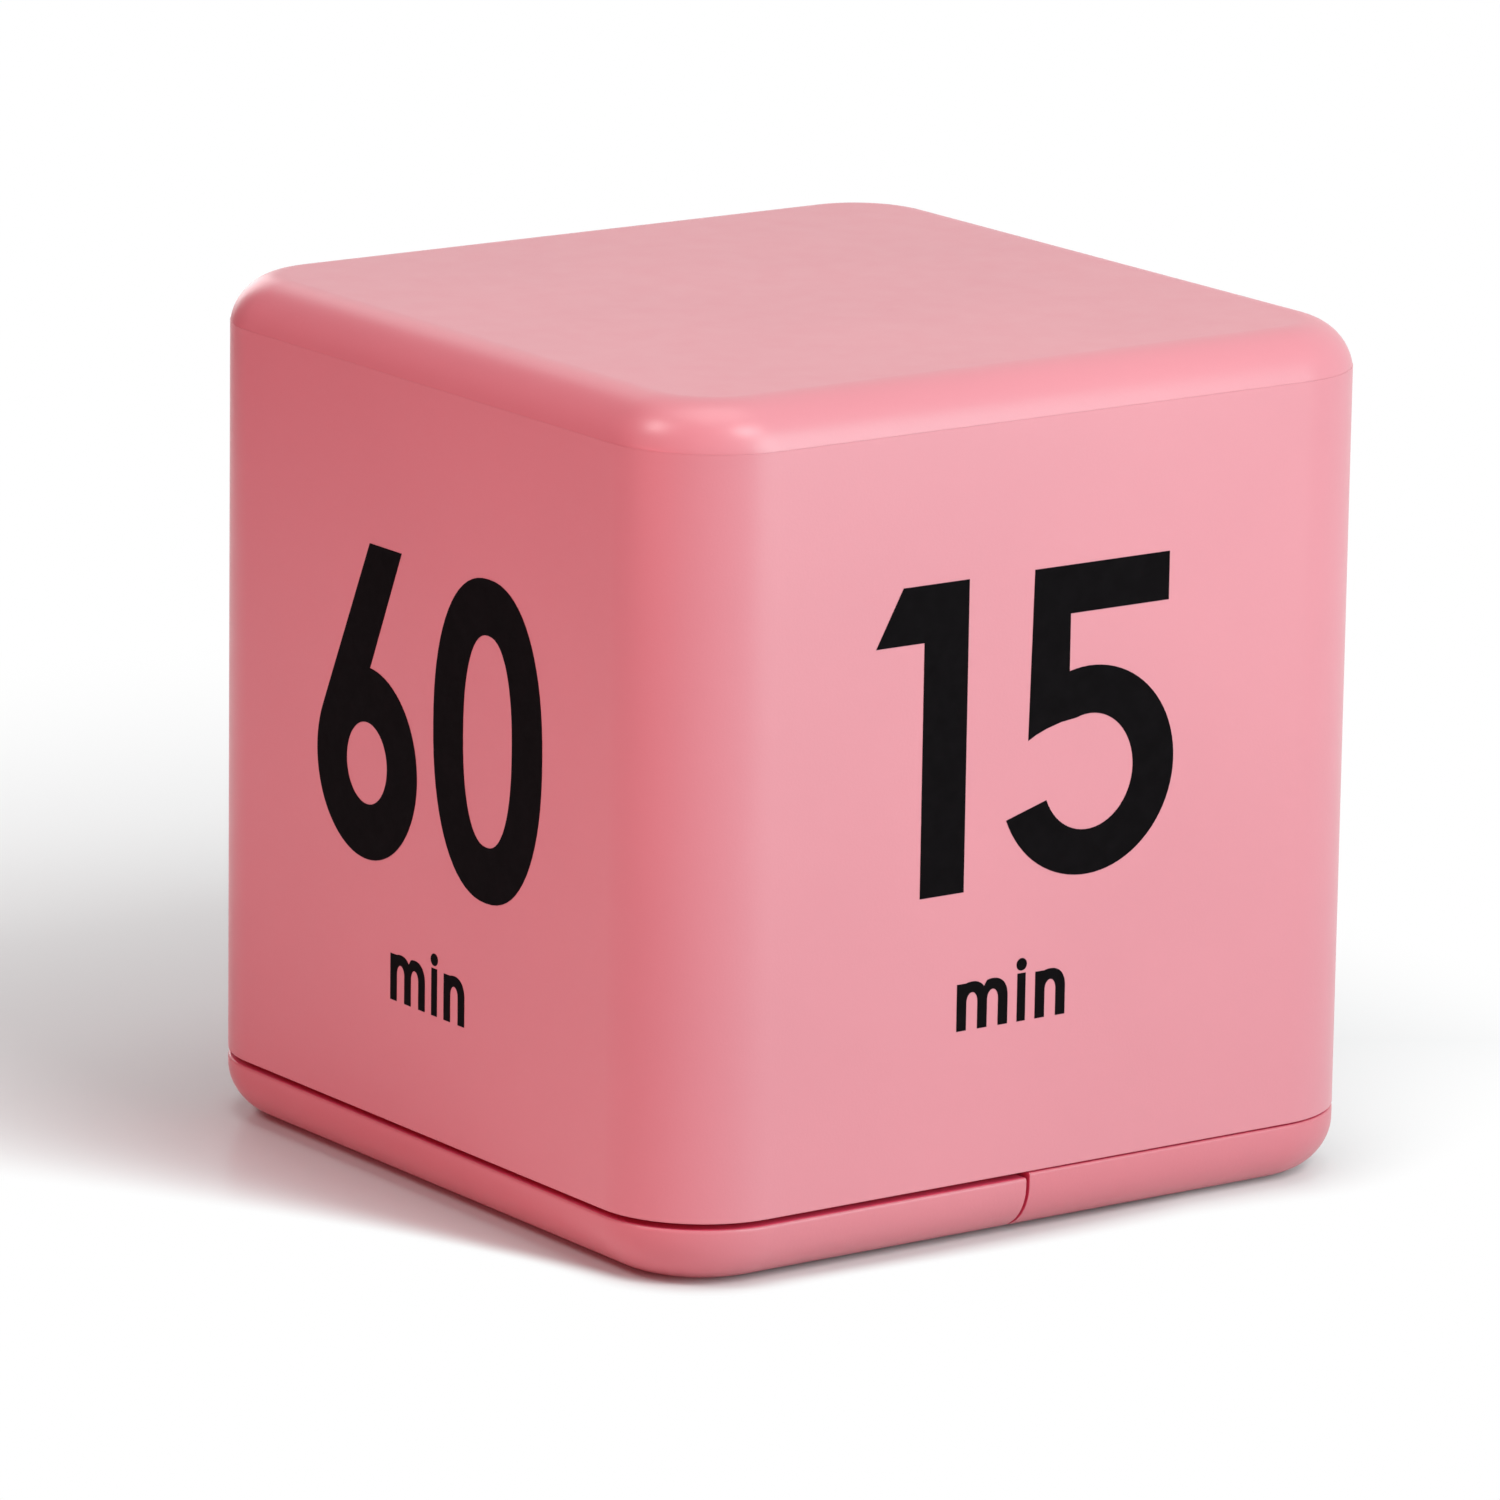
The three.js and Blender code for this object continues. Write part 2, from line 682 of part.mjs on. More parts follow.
// The two glasses of the display, the frame round them and the strip that joins them to the board.
function display() {
  const halfWidth = glassWidth / 2;
  const halfLength = glassLength / 2;
  const frontGlass = boxGeometry(
    -halfWidth, halfWidth, -halfLength, halfLength, frontGlassBottom, frontGlassTop,
  );
  const rearGlass = boxGeometry(
    -halfWidth, halfWidth - contactLedge, -halfLength, halfLength,
    rearGlassBottom, rearGlassBottom + glassThickness,
  );
  const frameX = glassWidth + 2 * fitGap;
  const frameY = glassLength + 2 * fitGap;
  const frame = block(0, 0, frameX + 2 * holderWall, frameY + 2 * holderWall, frontGlassBottom, partsTop);
  const opening = block(0, 0, frameX, frameY, frontGlassBottom - overrun, partsTop + overrun);
  const stripRight = halfWidth - fitGap;
  const strip = boxGeometry(
    stripRight - stripWidth, stripRight, -stripLength / 2, stripLength / 2, rearGlassBottom, partsTop,
  );
  const group = groupOf(
    piece("lcd_front_glass", frontGlass, liquidGlass),
    piece("lcd_rear_glass", rearGlass, liquidGlass),
    piece("lcd_holder", geometryOf(cut(frame, [opening])), whitePlastic),
    piece("contact_strip", strip, stripRubber),
  );
  group.position.set(baseMiddle, displayPlace, 0);
  return group;
}

// The knob in the base and the lever that it pushes, both in the off place.
function powerSlider() {
  const cap = block(0, 0, knobWidth, knobLength, knobBottom, knobTop);
  const stem = block(0, 0, stemSide, stemSide, knobTop - weld, stemTop);
  const socketSide = leverSide + 2 * fitGap;
  const socket = block(0, 0, socketSide, socketSide, stemTop - socketDepth, stemTop + overrun);
  const grooves = Array.from({ length: knobRibs }, (_, i) => {
    const y = (i - (knobRibs - 1) / 2) * knobRibPitch;
    return block(0, y, knobWidth + overrun, knobRibWidth, knobBottom - overrun, knobBottom + knobRibDepth);
  });
  const lever = joined(block(0, 0, leverSide, leverSide, leverBottom, sliderBottom + weld), [
    block(0, 0, sliderWidth, sliderLength, sliderBottom, sliderBottom + sliderHeight),
  ]);
  const group = groupOf(
    piece("switch_knob", geometryOf(cut(joined(cap, [stem]), [socket, ...grooves])), knobPlastic),
    piece("switch_lever", geometryOf(lever), blackResin),
  );
  group.position.set(baseMiddle, switchRest, 0);
  return group;
}

// The switch's metal housing, hung from the board's underside.
function switchHousing() {
  const shell = block(0, 0, housingWidth, housingLength, housingBottom, partsTop);
  const cavity = block(
    0, 0, sliderWidth + 2 * fitGap, sliderLength + switchTravel + 2 * fitGap,
    housingBottom + housingSkin, sliderBottom + sliderHeight + fitGap,
  );
  const slot = block(
    0, 0, leverSide + 2 * fitGap, leverSide + switchTravel + 2 * fitGap,
    housingBottom - overrun, sliderBottom,
  );
  const mesh = piece("switch_housing", geometryOf(cut(shell, [cavity, slot])), nickel);
  mesh.position.set(baseMiddle, switchPlace, 0);
  return mesh;
}

// The sounder's brass disc on its ring, with the ceramic glued to it.
function sounder() {
  const disc = post(0, 0, sounderDiameter, discBottom, discTop, roundSides);
  const plate = post(0, 0, ceramicDiameter, discTop + glueLine, ceramicTop, roundSides);
  const group = groupOf(
    piece("piezo_disc", geometryOf(disc), brass),
    piece("piezo_ceramic", geometryOf(plate), ceramic),
  );
  group.position.set(baseMiddle, sounderPlace, 0);
  return group;
}

// The circuit board, notched round the screw bosses and drilled for screws, legs and wires.
function circuitBoard() {
  const outline = new THREE.Shape();
  outline.moveTo(boardLeft, -boardHalf);
  outline.lineTo(notchPlace, -boardHalf);
  outline.lineTo(notchPlace, -notchPlace);
  outline.lineTo(boardRight, -notchPlace);
  outline.lineTo(boardRight, notchPlace);
  outline.lineTo(notchPlace, notchPlace);
  outline.lineTo(notchPlace, boardHalf);
  outline.lineTo(boardLeft, boardHalf);
  outline.closePath();
  const legHoles = tiltPlaces.flatMap(legPlaces).map(([x, y]) => [x, y, legDiameter / 2 + fitGap]);
  const screwHoles = standoffs.map(([x, y]) => [x, y, boardScrewShank / 2 + fitGap]);
  for (const [x, y, radius] of [...legHoles, ...screwHoles]) {
    const hole = new THREE.Path();
    hole.absarc(x, y, radius, 0, 2 * Math.PI);
    outline.holes.push(hole);
  }
  return piece("circuit_board", prismGeometry(outline, boardBottom, boardTop), boardLaminate);
}

// The small parts soldered to the board's upper side.
function boardParts() {
  const bottom = boardTop + glueLine;
  const dome = Array.from({ length: domeSteps + 1 }, (_, i) => {
    const angle = (0.5 * Math.PI * i) / domeSteps;
    return [(chipDiameter / 2) * Math.cos(angle), chipHeight * Math.sin(angle)];
  });
  const domeProfile = [[0, 0], ...dome.slice(0, -1), [0, chipHeight]];
  const chip = piece("chip_cover", turned(domeProfile, roundSides), blackResin);
  chip.position.set(...chipPlace, bottom);

  const can = new THREE.CylinderGeometry(crystalDiameter / 2, crystalDiameter / 2, crystalLength, smallSides);
  const crystal = piece("crystal_can", can, nickel);
  crystal.position.set(...crystalPlace, bottom + crystalDiameter / 2);

  const barrel = new THREE.CylinderGeometry(
    capacitorDiameter / 2, capacitorDiameter / 2, capacitorHeight, roundSides,
  );
  const capacitor = piece("capacitor", barrel.rotateX(Math.PI / 2), capacitorSleeve);
  capacitor.position.set(...capacitorPlace, bottom + capacitorHeight / 2);

  const core = coilCoreDiameter / 2;
  const waist = coilWaistDiameter / 2;
  const drum = turned(
    [
      [0, 0],
      [core, 0],
      [core, coilFlange],
      [waist, coilFlange],
      [waist, coilCoreHeight - coilFlange],
      [core, coilCoreHeight - coilFlange],
      [core, coilCoreHeight],
      [0, coilCoreHeight],
    ],
    smallSides,
  );
  const coil = piece("buzzer_coil", drum, ferrite);
  coil.position.set(...coilPlace, bottom);
  return groupOf(chip, crystal, capacitor, coil);
}

// Where a tilt switch's two legs pass through the board.
function legPlaces(place) {
  const cos = Math.cos(place.heading);
  const sin = Math.sin(place.heading);
  return [-1, 1].map((side) => {
    const across = (side * legSpacing) / 2;
    return [place.x + legEnd * cos - across * sin, place.y + legEnd * sin + across * cos];
  });
}

// One ball tilt switch: the ball lies at the low end until the cube is turned towards the plug.
function tiltSwitch(place, index) {
  const inner = canRadius - canWall;
  const end = canLength / 2;
  const can = turned(
    [
      [0, -end],
      [canRadius, -end],
      [canRadius, end],
      [inner, end],
      [inner, canWall - end],
      [0, canWall - end],
    ],
    roundSides,
  );
  const plugRadius = inner - glueLine;
  const plug = turned(
    [
      [0, end - plugDepth],
      [plugRadius, end - plugDepth],
      [plugRadius, end + glueLine],
      [canRadius, end + glueLine],
      [canRadius, plugOuter],
      [0, plugOuter],
    ],
    roundSides,
  );
  // A turned profile stands along Z, and the switch's own axis is X, raised at the plug.
  const lay = new THREE.Matrix4()
    .makeTranslation(0, 0, canHeight)
    .multiply(new THREE.Matrix4().makeRotationY(Math.PI / 2 - tiltAngle));
  const legTop = canHeight + plugOuter * Math.sin(tiltAngle);
  const legs = [-1, 1].map((side) => {
    const y = (side * legSpacing) / 2;
    const x = plugOuter * Math.cos(tiltAngle);
    const bend = new THREE.QuadraticBezierCurve3(
      new THREE.Vector3(x - weld, y, legTop),
      new THREE.Vector3(x + legReach, y, legTop),
      new THREE.Vector3(x + legReach, y, -boardThickness - legThrough),
    );
    return solidOf(tubeGeometry(bend, legDiameter, legSteps, pinSides));
  });
  const number = index + 1;
  const ball = piece("tilt_ball_" + number, new THREE.IcosahedronGeometry(ballRadius, 2), steel);
  ball.position.set(ballRest * Math.cos(tiltAngle), 0, canHeight + ballRest * Math.sin(tiltAngle));
  const group = groupOf(
    piece("tilt_can_" + number, can.applyMatrix4(lay), nickel),
    piece("tilt_base_" + number, geometryOf(joined(solidOf(plug.applyMatrix4(lay)), legs)), blackResin),
    ball,
  );
  group.position.set(place.x, place.y, boardTop);
  group.rotation.z = place.heading;
  return group;
}

// A screw that points up or down the Z axis from its head's seat.
function screw(name, shank, length, head, headHeight) {
  const profile = [
    [0, -headHeight],
    [head / 2, -headHeight],
    [head / 2, 0],
    [shank / 2, 0],
    [shank / 2, length],
    [0, length],
  ];
  return piece(name, turned(profile, smallSides), steel);
}

// The screws through the base into the walls' bosses, and those that hold the board down.
function screws() {
  const caseScrews = caseScrewPlaces.map(([x, y], i) => {
    const mesh = screw(
      "case_screw_" + (i + 1), caseScrewShank, caseScrewLength, caseScrewHead, caseScrewHeadHeight,
    );
    mesh.position.set(x, y, screwSeat);
    return mesh;
  });
  const boardScrews = standoffs.map(([x, y], i) => {
    const mesh = screw(
      "board_screw_" + (i + 1), boardScrewShank, boardScrewLength, boardScrewHead, boardScrewHeadHeight,
    );
    mesh.position.set(x, y, boardTop + glueLine);
    mesh.rotation.x = Math.PI;
    return mesh;
  });
  return groupOf(...caseScrews, ...boardScrews);
}

// A cell lying along Y with its nub towards +Y, its middle at the origin.
function cellGeometry() {
  const end = cellLength / 2;
  const shoulder = end - nubLength;
  const profile = [
    [0, -end],
    [cellRadius - cellRim, -end],
    [cellRadius, cellRim - end],
    [cellRadius, shoulder - cellRim],
    [cellRadius - cellRim, shoulder],
    [nubDiameter / 2, shoulder],
    [nubDiameter / 2, end],
    [0, end],
  ];
  return new THREE.LatheGeometry(profile.map(([x, y]) => new THREE.Vector2(x, y)), roundSides);
}

// The two cells, head to tail, each with its flat end against a coil.
function cells() {
  const shift = plateInner - coilLength - fitGap - cellLength / 2;
  const near = piece("battery_1", cellGeometry(), cellSleeve);
  near.position.set(nearCell, -shift, cellAxis);
  const far = piece("battery_2", cellGeometry(), cellSleeve);
  far.position.set(farCell, shift, cellAxis);
  far.rotation.z = Math.PI;
  return groupOf(near, far);
}

// The centre line of a cone-shaped coil that starts inside the plate and rises along Y.
class ConeCoil extends THREE.Curve {
  getPoint(share, target = new THREE.Vector3()) {
    const angle = 2 * Math.PI * coilTurns * share;
    const radius = coilWideRadius + (coilNarrowRadius - coilWideRadius) * share;
    const rise = (coilLength - coilWire / 2) * share;
    return target.set(radius * Math.cos(angle), rise, radius * Math.sin(angle));
  }
}

// The least gap between one turn of the coil and the next, measured between points on it.
function leastCoilGap() {
  const count = coilTurns * coilStepsPerTurn;
  const points = new ConeCoil().getPoints(count);
  const apart = points.flatMap((a, i) => points.slice(i + coilStepsPerTurn / 2).map((b) => a.distanceTo(b)));
  return Math.min(...apart) - coilWire;
}

// A contact plate over one or both cells, at the -Y end (side -1) or the +Y end (side 1).
function contactPlate(left, right, side) {
  const outer = side * plateOuter;
  const inner = side * plateInner;
  return box(left, right, Math.min(inner, outer), Math.max(inner, outer), plateTop - plateHeight, plateTop);
}

// A solder tab that rises through the tray's roof.
function contactTab(x) {
  return box(x - tabWidth / 2, x + tabWidth / 2, -plateOuter, -plateInner, plateTop - weld, tabTop);
}

// A coil that stands on a plate and presses on a cell's flat end.
function contactCoil(x, side) {
  const steps = coilTurns * coilStepsPerTurn;
  const geometry = tubeGeometry(new ConeCoil(), coilWire, steps, coilSides);
  geometry.rotateZ(side > 0 ? Math.PI : 0);
  return solidOf(geometry.translate(x, side * plateInner, cellAxis));
}

// A dimple that meets a cell's nub.
function contactDimple(x, side) {
  const tip = side * (plateInner - dimpleDepth);
  const root = side * (plateInner + plateThickness / 2);
  return bar(x, cellAxis, dimpleDiameter, Math.min(tip, root), Math.max(tip, root), smallSides);
}

// The three contacts: one for each lead at the -Y end, and one that joins the cells at the +Y end.
function contacts() {
  const reach = plateWidth / 2;
  const negative = joined(contactPlate(nearCell - reach, nearCell + reach, -1), [
    contactTab(nearCell),
    contactCoil(nearCell, -1),
  ]);
  const positive = joined(contactPlate(farCell - reach, farCell + reach, -1), [
    contactTab(farCell),
    contactDimple(farCell, -1),
  ]);
  const bridge = joined(contactPlate(farCell - reach, nearCell + reach, 1), [
    contactCoil(farCell, 1),
    contactDimple(nearCell, 1),
  ]);
  return groupOf(
    piece("negative_contact", geometryOf(negative), nickel),
    piece("positive_contact", geometryOf(positive), nickel),
    piece("bridge_contact", geometryOf(bridge), nickel),
  );
}

// An insulated wire that leaves each end straight, through two points level with each other.
function wire(name, start, end, level, diameter, finish) {
  const path = new THREE.CatmullRomCurve3([
    start,
    new THREE.Vector3(start.x, start.y, level),
    new THREE.Vector3(end.x, end.y, level),
    end,
  ]);
  return piece(name, tubeGeometry(path, diameter, wireSteps, pinSides), finish);
}

// The leads from the contacts' tabs to the board, over the tray.
function batteryLeads() {
  const start = (x) => new THREE.Vector3(x, -(plateOuter + plateInner) / 2, tabTop + glueLine);
  const end = (place) => new THREE.Vector3(...place, boardTop + glueLine);
  const level = tabTop + leadRise;
  return groupOf(
    wire("battery_lead_black", start(nearCell), end(blackLeadPlace), level, leadDiameter, blackInsulation),
    wire("battery_lead_red", start(farCell), end(redLeadPlace), level, leadDiameter, redInsulation),
  );
}

// The two short wires from the sounder up to the board's underside.
function sounderWires() {
  const radius = sounderWireDiameter / 2;
  const level = (discTop + partsTop) / 2;
  const spread = ceramicDiameter / 4;
  const rim = (sounderDiameter + ceramicDiameter) / 4;
  const red = wire(
    "piezo_wire_red",
    new THREE.Vector3(baseMiddle + spread, sounderPlace, ceramicTop + glueLine),
    new THREE.Vector3(baseMiddle + spread, sounderPlace - spread, boardBottom - glueLine),
    level, sounderWireDiameter, redInsulation,
  );
  const black = wire(
    "piezo_wire_black",
    new THREE.Vector3(baseMiddle - rim, sounderPlace, discTop + glueLine),
    new THREE.Vector3(baseMiddle - rim + radius, sounderPlace - spread, boardBottom - glueLine),
    level, sounderWireDiameter, blackInsulation,
  );
  return groupOf(red, black);
}

console.log("least gap between turns of the contact coils: " + leastCoilGap().toFixed(2) + " mm");

const shells = groupOf(
  piece("body_shell", geometryOf(bodyShell()), pinkPlastic),
  piece("top_cover", geometryOf(topCover()), pinkPlastic),
  piece("base_cover", geometryOf(baseCover()), trayPlastic),
  piece("battery_door", geometryOf(batteryDoor()), pinkPlastic),
);
const electronics = groupOf(
  circuitBoard(),
  boardParts(),
  switchHousing(),
  sounder(),
  sounderWires(),
  ...tiltPlaces.map(tiltSwitch),
);
const power = groupOf(cells(), contacts(), batteryLeads());
const cubeTimer = groupOf(shells, displayWindow(), display(), powerSlider(), electronics, power, screws());

export default cubeTimer;
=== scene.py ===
# A cube timer in a studio: the shells, prints, cells and screws are drawn here around the solid model.
# Metres, +Z up. The origin is the middle of the underside, the 15 looks along -Y and the 60 along -X.

import math
import bmesh
import bpy
import numpy as np
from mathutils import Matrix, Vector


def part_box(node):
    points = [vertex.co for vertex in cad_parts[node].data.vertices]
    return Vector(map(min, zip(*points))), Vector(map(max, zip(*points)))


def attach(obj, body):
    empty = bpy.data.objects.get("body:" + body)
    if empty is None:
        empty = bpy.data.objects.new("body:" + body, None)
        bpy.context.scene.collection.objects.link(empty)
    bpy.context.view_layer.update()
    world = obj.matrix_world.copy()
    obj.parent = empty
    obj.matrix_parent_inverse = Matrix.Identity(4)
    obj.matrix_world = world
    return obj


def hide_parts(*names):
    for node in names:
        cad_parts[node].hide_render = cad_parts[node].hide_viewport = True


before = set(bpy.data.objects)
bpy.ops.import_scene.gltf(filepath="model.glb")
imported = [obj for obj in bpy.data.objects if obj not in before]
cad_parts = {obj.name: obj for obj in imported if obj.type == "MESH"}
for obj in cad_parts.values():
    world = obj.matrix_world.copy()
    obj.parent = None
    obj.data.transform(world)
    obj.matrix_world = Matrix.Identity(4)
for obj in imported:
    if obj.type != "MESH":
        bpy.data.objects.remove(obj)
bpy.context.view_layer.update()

MM = 0.001


def low(node):
    """The lowest corner of a solid's box."""
    return np.array(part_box(node)[0])


def high(node):
    """The highest corner of a solid's box."""
    return np.array(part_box(node)[1])


def middle_of(node):
    """The middle of a solid's box."""
    return (low(node) + high(node)) / 2


def half_of(node):
    """Half of a solid's size along each axis."""
    return (high(node) - low(node)) / 2


# The cube and its shells, from the solid model's boxes and the mould's own sizes
SIDE = high("top_cover")[2]
HALF = SIDE / 2
CORNER = 8.4 * MM
EDGE = 4.0 * MM
WALL = 2.2 * MM
FIT = 0.2 * MM
INK = 0.03 * MM
HAIRLINE = 0.12 * MM
TIGHT = 0.005 * MM
LIP = 1.2 * MM
LIP_REACH = 2.2 * MM
INNER = HALF - WALL
WALLS_LOW = low("body_shell")[2]
TOP_SEAM = high("body_shell")[2] + HAIRLINE
DOOR_HIGH = high("battery_door")[2]
BASE_RIM = WALLS_LOW - HAIRLINE
LEDGE_HIGH = 7.45 * MM
LEDGE = np.array([10.0, 2.4, 1.4]) * MM
HOOK = np.array([7.0, 1.2]) * MM
HOOK_GAP = 0.5 * MM
HOOK_PLACES = (-12 * MM, 12 * MM)

# The battery tray round the cells and their contacts
NEAR_CELL = middle_of("battery_1")
FAR_CELL = middle_of("battery_2")
CELL_RADIUS = half_of("battery_1")[0]
CELL_AXIS = NEAR_CELL[2]
TROUGH = CELL_RADIUS + 0.25 * MM
TRAY_WALL = 1.6 * MM
TRAY_INNER = high("bridge_contact")[1] + FIT
TRAY_HALF = TRAY_INNER + TRAY_WALL
TRAY_LEFT = FAR_CELL[0] - TROUGH - TRAY_WALL
TRAY_RIGHT = NEAR_CELL[0] + TROUGH + TRAY_WALL
TRAY_LOW = WALL + 0.3 * MM
TRAY_HIGH = high("base_cover")[2]
TRAY_EDGE = 0.3 * MM
FOOT = 0.8 * MM
BASE_EDGE = TRAY_RIGHT - FOOT
PARTING = 0.25 * MM
DOOR_EDGE = BASE_EDGE - PARTING
RAIL = 0.8 * MM
RAIL_REACH = 1.3 * MM
RAIL_START = CORNER - WALL - INNER
TRAY_RAIL_GAP = 0.3 * MM
TONGUE = np.array([1.2, 6.0, 0.8]) * MM
TONGUE_PLACE = TRAY_HALF - 10.4 * MM
TAB_WIDTH = 2.4 * MM
POCKET = 1.0 * MM

# The grip grooves of the door
GRIPS = 5
GRIP = np.array([0.9, 18.0, 0.5]) * MM
GRIP_CORNER = 0.45 * MM
GRIP_PITCH = 2.0 * MM
GRIP_START = 10 * MM - HALF

# What the fixed half of the base carries
SCREW_PLACES = [middle_of(f"case_screw_{number}") for number in (1, 2)]
BOARD_PLACES = [middle_of(f"board_screw_{number}") for number in (1, 2, 3)]
BOARD_LOW = low("circuit_board")[2] - FIT
RECESS = 2.5 * MM
RECESS_DEPTH = 3.2 * MM
POST = 3.3 * MM
POST_HIGH = 6.0 * MM
SHANK = 1.2 * MM
SCREW_HEAD = 1.6 * MM
BOARD_SHANK = 0.8 * MM
BOARD_HEAD = 1.1 * MM
BOARD_BORE = 5 * MM
BOSS = 3.0 * MM
BOSS_HIGH = 21.2 * MM
RIB = 0.6 * MM
STANDOFF = 2.1 * MM
SOUNDER = middle_of("piezo_disc")
SOUNDER_RADIUS = half_of("piezo_disc")[0]
SOUND_HOLE = 0.8 * MM
SOUND_PITCH = 3.0 * MM
SOUND_HOLES = 6
WINDOW_MIDDLE = middle_of("display_window")
WINDOW_HALF = half_of("display_window")
WINDOW_CORNER = 0.8 * MM
WINDOW_LEDGE = 1.2 * MM
KNOB_LOW = low("switch_knob")
KNOB_HIGH = high("switch_knob")
KNOB_MIDDLE = middle_of("switch_knob")
TRAVEL = 2.0 * MM
SWITCH_MIDDLE = KNOB_MIDDLE + np.array([0, TRAVEL / 2, 0])
SWITCH_POCKET = np.array([2.5, 4.0, 1.15]) * MM
SMALL_CORNER = 0.4 * MM
STEM = 1.2 * MM
STEM_CORNER = 0.1 * MM

# Fineness of round shapes, and the small radii that a mould leaves on edges
CORNER_STEPS = 20
EDGE_STEPS = 14
FILLET_STEPS = 4
RING_STEPS = 20
RIM = 0.1 * MM
BASE_RIM_ROUND = 0.22 * MM
CUT_END_ROUND = 0.09 * MM
SOFT = 0.15 * MM
SHARP = 0.05 * MM
LEAST_RADIUS = 0.02 * MM
OVERRUN = 1.0 * MM
WELD = 0.3 * MM
SAME_PLACE = 0.0005 * MM
SMOOTH_ANGLE = math.radians(38)
FACING = 0.9


# Shapes


def unit(vector):
    """The vector divided by its length."""
    return vector / np.linalg.norm(vector)


def about(place, reach):
    """Both ends of a stretch that reaches as far to either side of a place."""
    return place - reach, place + reach


def arc(centre, radii, start, end, steps, power=2.0):
    """Points round an ellipse: centre + radii * (cos a, sin a) from angle start to end in degrees.
    A power above 2 squares it up: each of cos and sin is raised to 2 / power with its sign kept."""
    a = np.radians(np.linspace(start, end, steps + 1))
    round_way = np.stack([np.cos(a), np.sin(a)], 1)
    squared = np.sign(round_way) * np.abs(round_way) ** (2 / power)
    return np.asarray(centre) + np.asarray(radii) * squared


def oval(centre, radii, steps, power=2.0):
    """A whole ellipse, each point once."""
    return arc(centre, radii, 0, 360, steps, power)[:-1]


def filleted(corners, radii, steps=FILLET_STEPS):
    """A closed outline with its corners rounded: each arc touches both sides of its corner."""
    corners = np.asarray(corners, float)
    stretches = []
    for i, (corner, radius) in enumerate(zip(corners, radii)):
        if not radius:
            stretches.append(corner[None])
            continue
        before = unit(corners[i - 1] - corner)
        after = unit(corners[(i + 1) % len(corners)] - corner)
        half_angle = math.acos(np.clip(before @ after, -1, 1)) / 2
        centre = corner + unit(before + after) * radius / math.sin(half_angle)
        start = corner + before * radius / math.tan(half_angle) - centre
        end = corner + after * radius / math.tan(half_angle) - centre
        first = math.atan2(start[1], start[0])
        turn = (math.atan2(end[1], end[0]) - first + math.pi) % (2 * math.pi) - math.pi
        a = first + turn * np.linspace(0, 1, steps + 1)
        stretches.append(centre + radius * np.stack([np.cos(a), np.sin(a)], 1))
    return np.concatenate(stretches)


def plan_ring(half, corner, inset, steps=CORNER_STEPS):
    """A rectangle with round corners, from half its two sizes, drawn in by inset: the corners' radius
    shrinks by as much, so that all rings run parallel."""
    x = half[0] - inset
    y = half[1] - inset
    radius = max(corner - inset, LEAST_RADIUS)
    return np.concatenate([
        arc((sx * (x - radius), sy * (y - radius)), radius, start, start + 90, steps)
        for sx, sy, start in ((1, 1, 0), (-1, 1, 90), (-1, -1, 180), (1, -1, 270))
    ])


def cube_ring(inset):
    """The cube's outline, drawn in by inset."""
    return plan_ring((HALF, HALF), CORNER, inset)


def half_ring(edge, side, inset):
    """The part of the cube's outline to one side of the upright plane x = edge, from -Y to +Y."""
    quarters = np.split(cube_ring(inset), 4)
    bend = [quarters[3], quarters[0]] if side > 0 else [quarters[2][::-1], quarters[1][::-1]]
    return np.concatenate([[(edge, inset - HALF)], *bend, [(edge, HALF - inset)]])


def raised(ring, height):
    """A plan ring at a height."""
    return np.column_stack([ring, np.full(len(ring), height)])


def worked(mesh, *steps):
    """The mesh after some steps of work on it."""
    shape = bmesh.new()
    shape.from_mesh(mesh)
    for step in steps:
        step(shape)
    shape.to_mesh(mesh)
    shape.free()
    return mesh


def face_outwards(shape):
    """Turns the faces of each closed part outwards."""
    bmesh.ops.recalc_face_normals(shape, faces=shape.faces)


def merge_points(shape):
    """Makes one point of those that lie in the same place."""
    bmesh.ops.remove_doubles(shape, verts=shape.verts, dist=SAME_PLACE)


def mesh_of(points, faces):
    """A mesh whose faces all point outwards."""
    mesh = bpy.data.meshes.new("shape")
    mesh.from_pydata(points, [], faces)
    return worked(mesh, face_outwards)


def skin(rings, wrap=True, closed=False):
    """A surface through rings with as many points each: a grid of four-sided faces over (ring, point).
    It wraps round each ring. Its first and last rings are filled, or joined to each other if closed.
    Without wrap, the open ends of the rings are filled too, by one flat face, or by two if closed."""
    rings = np.asarray(rings, float)
    count, size = rings.shape[:2]
    index = np.arange(count * size).reshape(count, size)
    along = np.vstack([index, index[:1]]) if closed else index
    grid = np.hstack([along, along[:, :1]]) if wrap else along
    quads = np.stack([grid[:-1, :-1], grid[:-1, 1:], grid[1:, 1:], grid[1:, :-1]], -1)
    faces = quads.reshape(-1, 4).tolist()
    first, last = index[:, 0].tolist(), index[:, -1].tolist()
    if not closed:
        faces += [index[0].tolist(), index[-1].tolist()]
    if not wrap:
        faces += [first, last] if closed else [first + last[::-1]]
    return mesh_of(rings.reshape(-1, 3), faces)


def carried(profile, plan, wrap=True, closed=False):
    """The surface of a profile of (inset, height) carried along the ring plan(inset)."""
    return skin([raised(plan(inset), height) for inset, height in profile], wrap, closed)


def turned(mesh, columns, offset=(0, 0, 0)):
    """The mesh in other axes: columns say where its own X, Y and Z point."""
    points = np.empty(3 * len(mesh.vertices))
    mesh.vertices.foreach_get("co", points)
    points = points.reshape(-1, 3) @ np.asarray(columns, float) + np.asarray(offset)
    mesh.vertices.foreach_set("co", points.ravel())
    return mesh


def moved(mesh, offset):
    """The mesh shifted by an offset."""
    return turned(mesh, np.eye(3), offset)


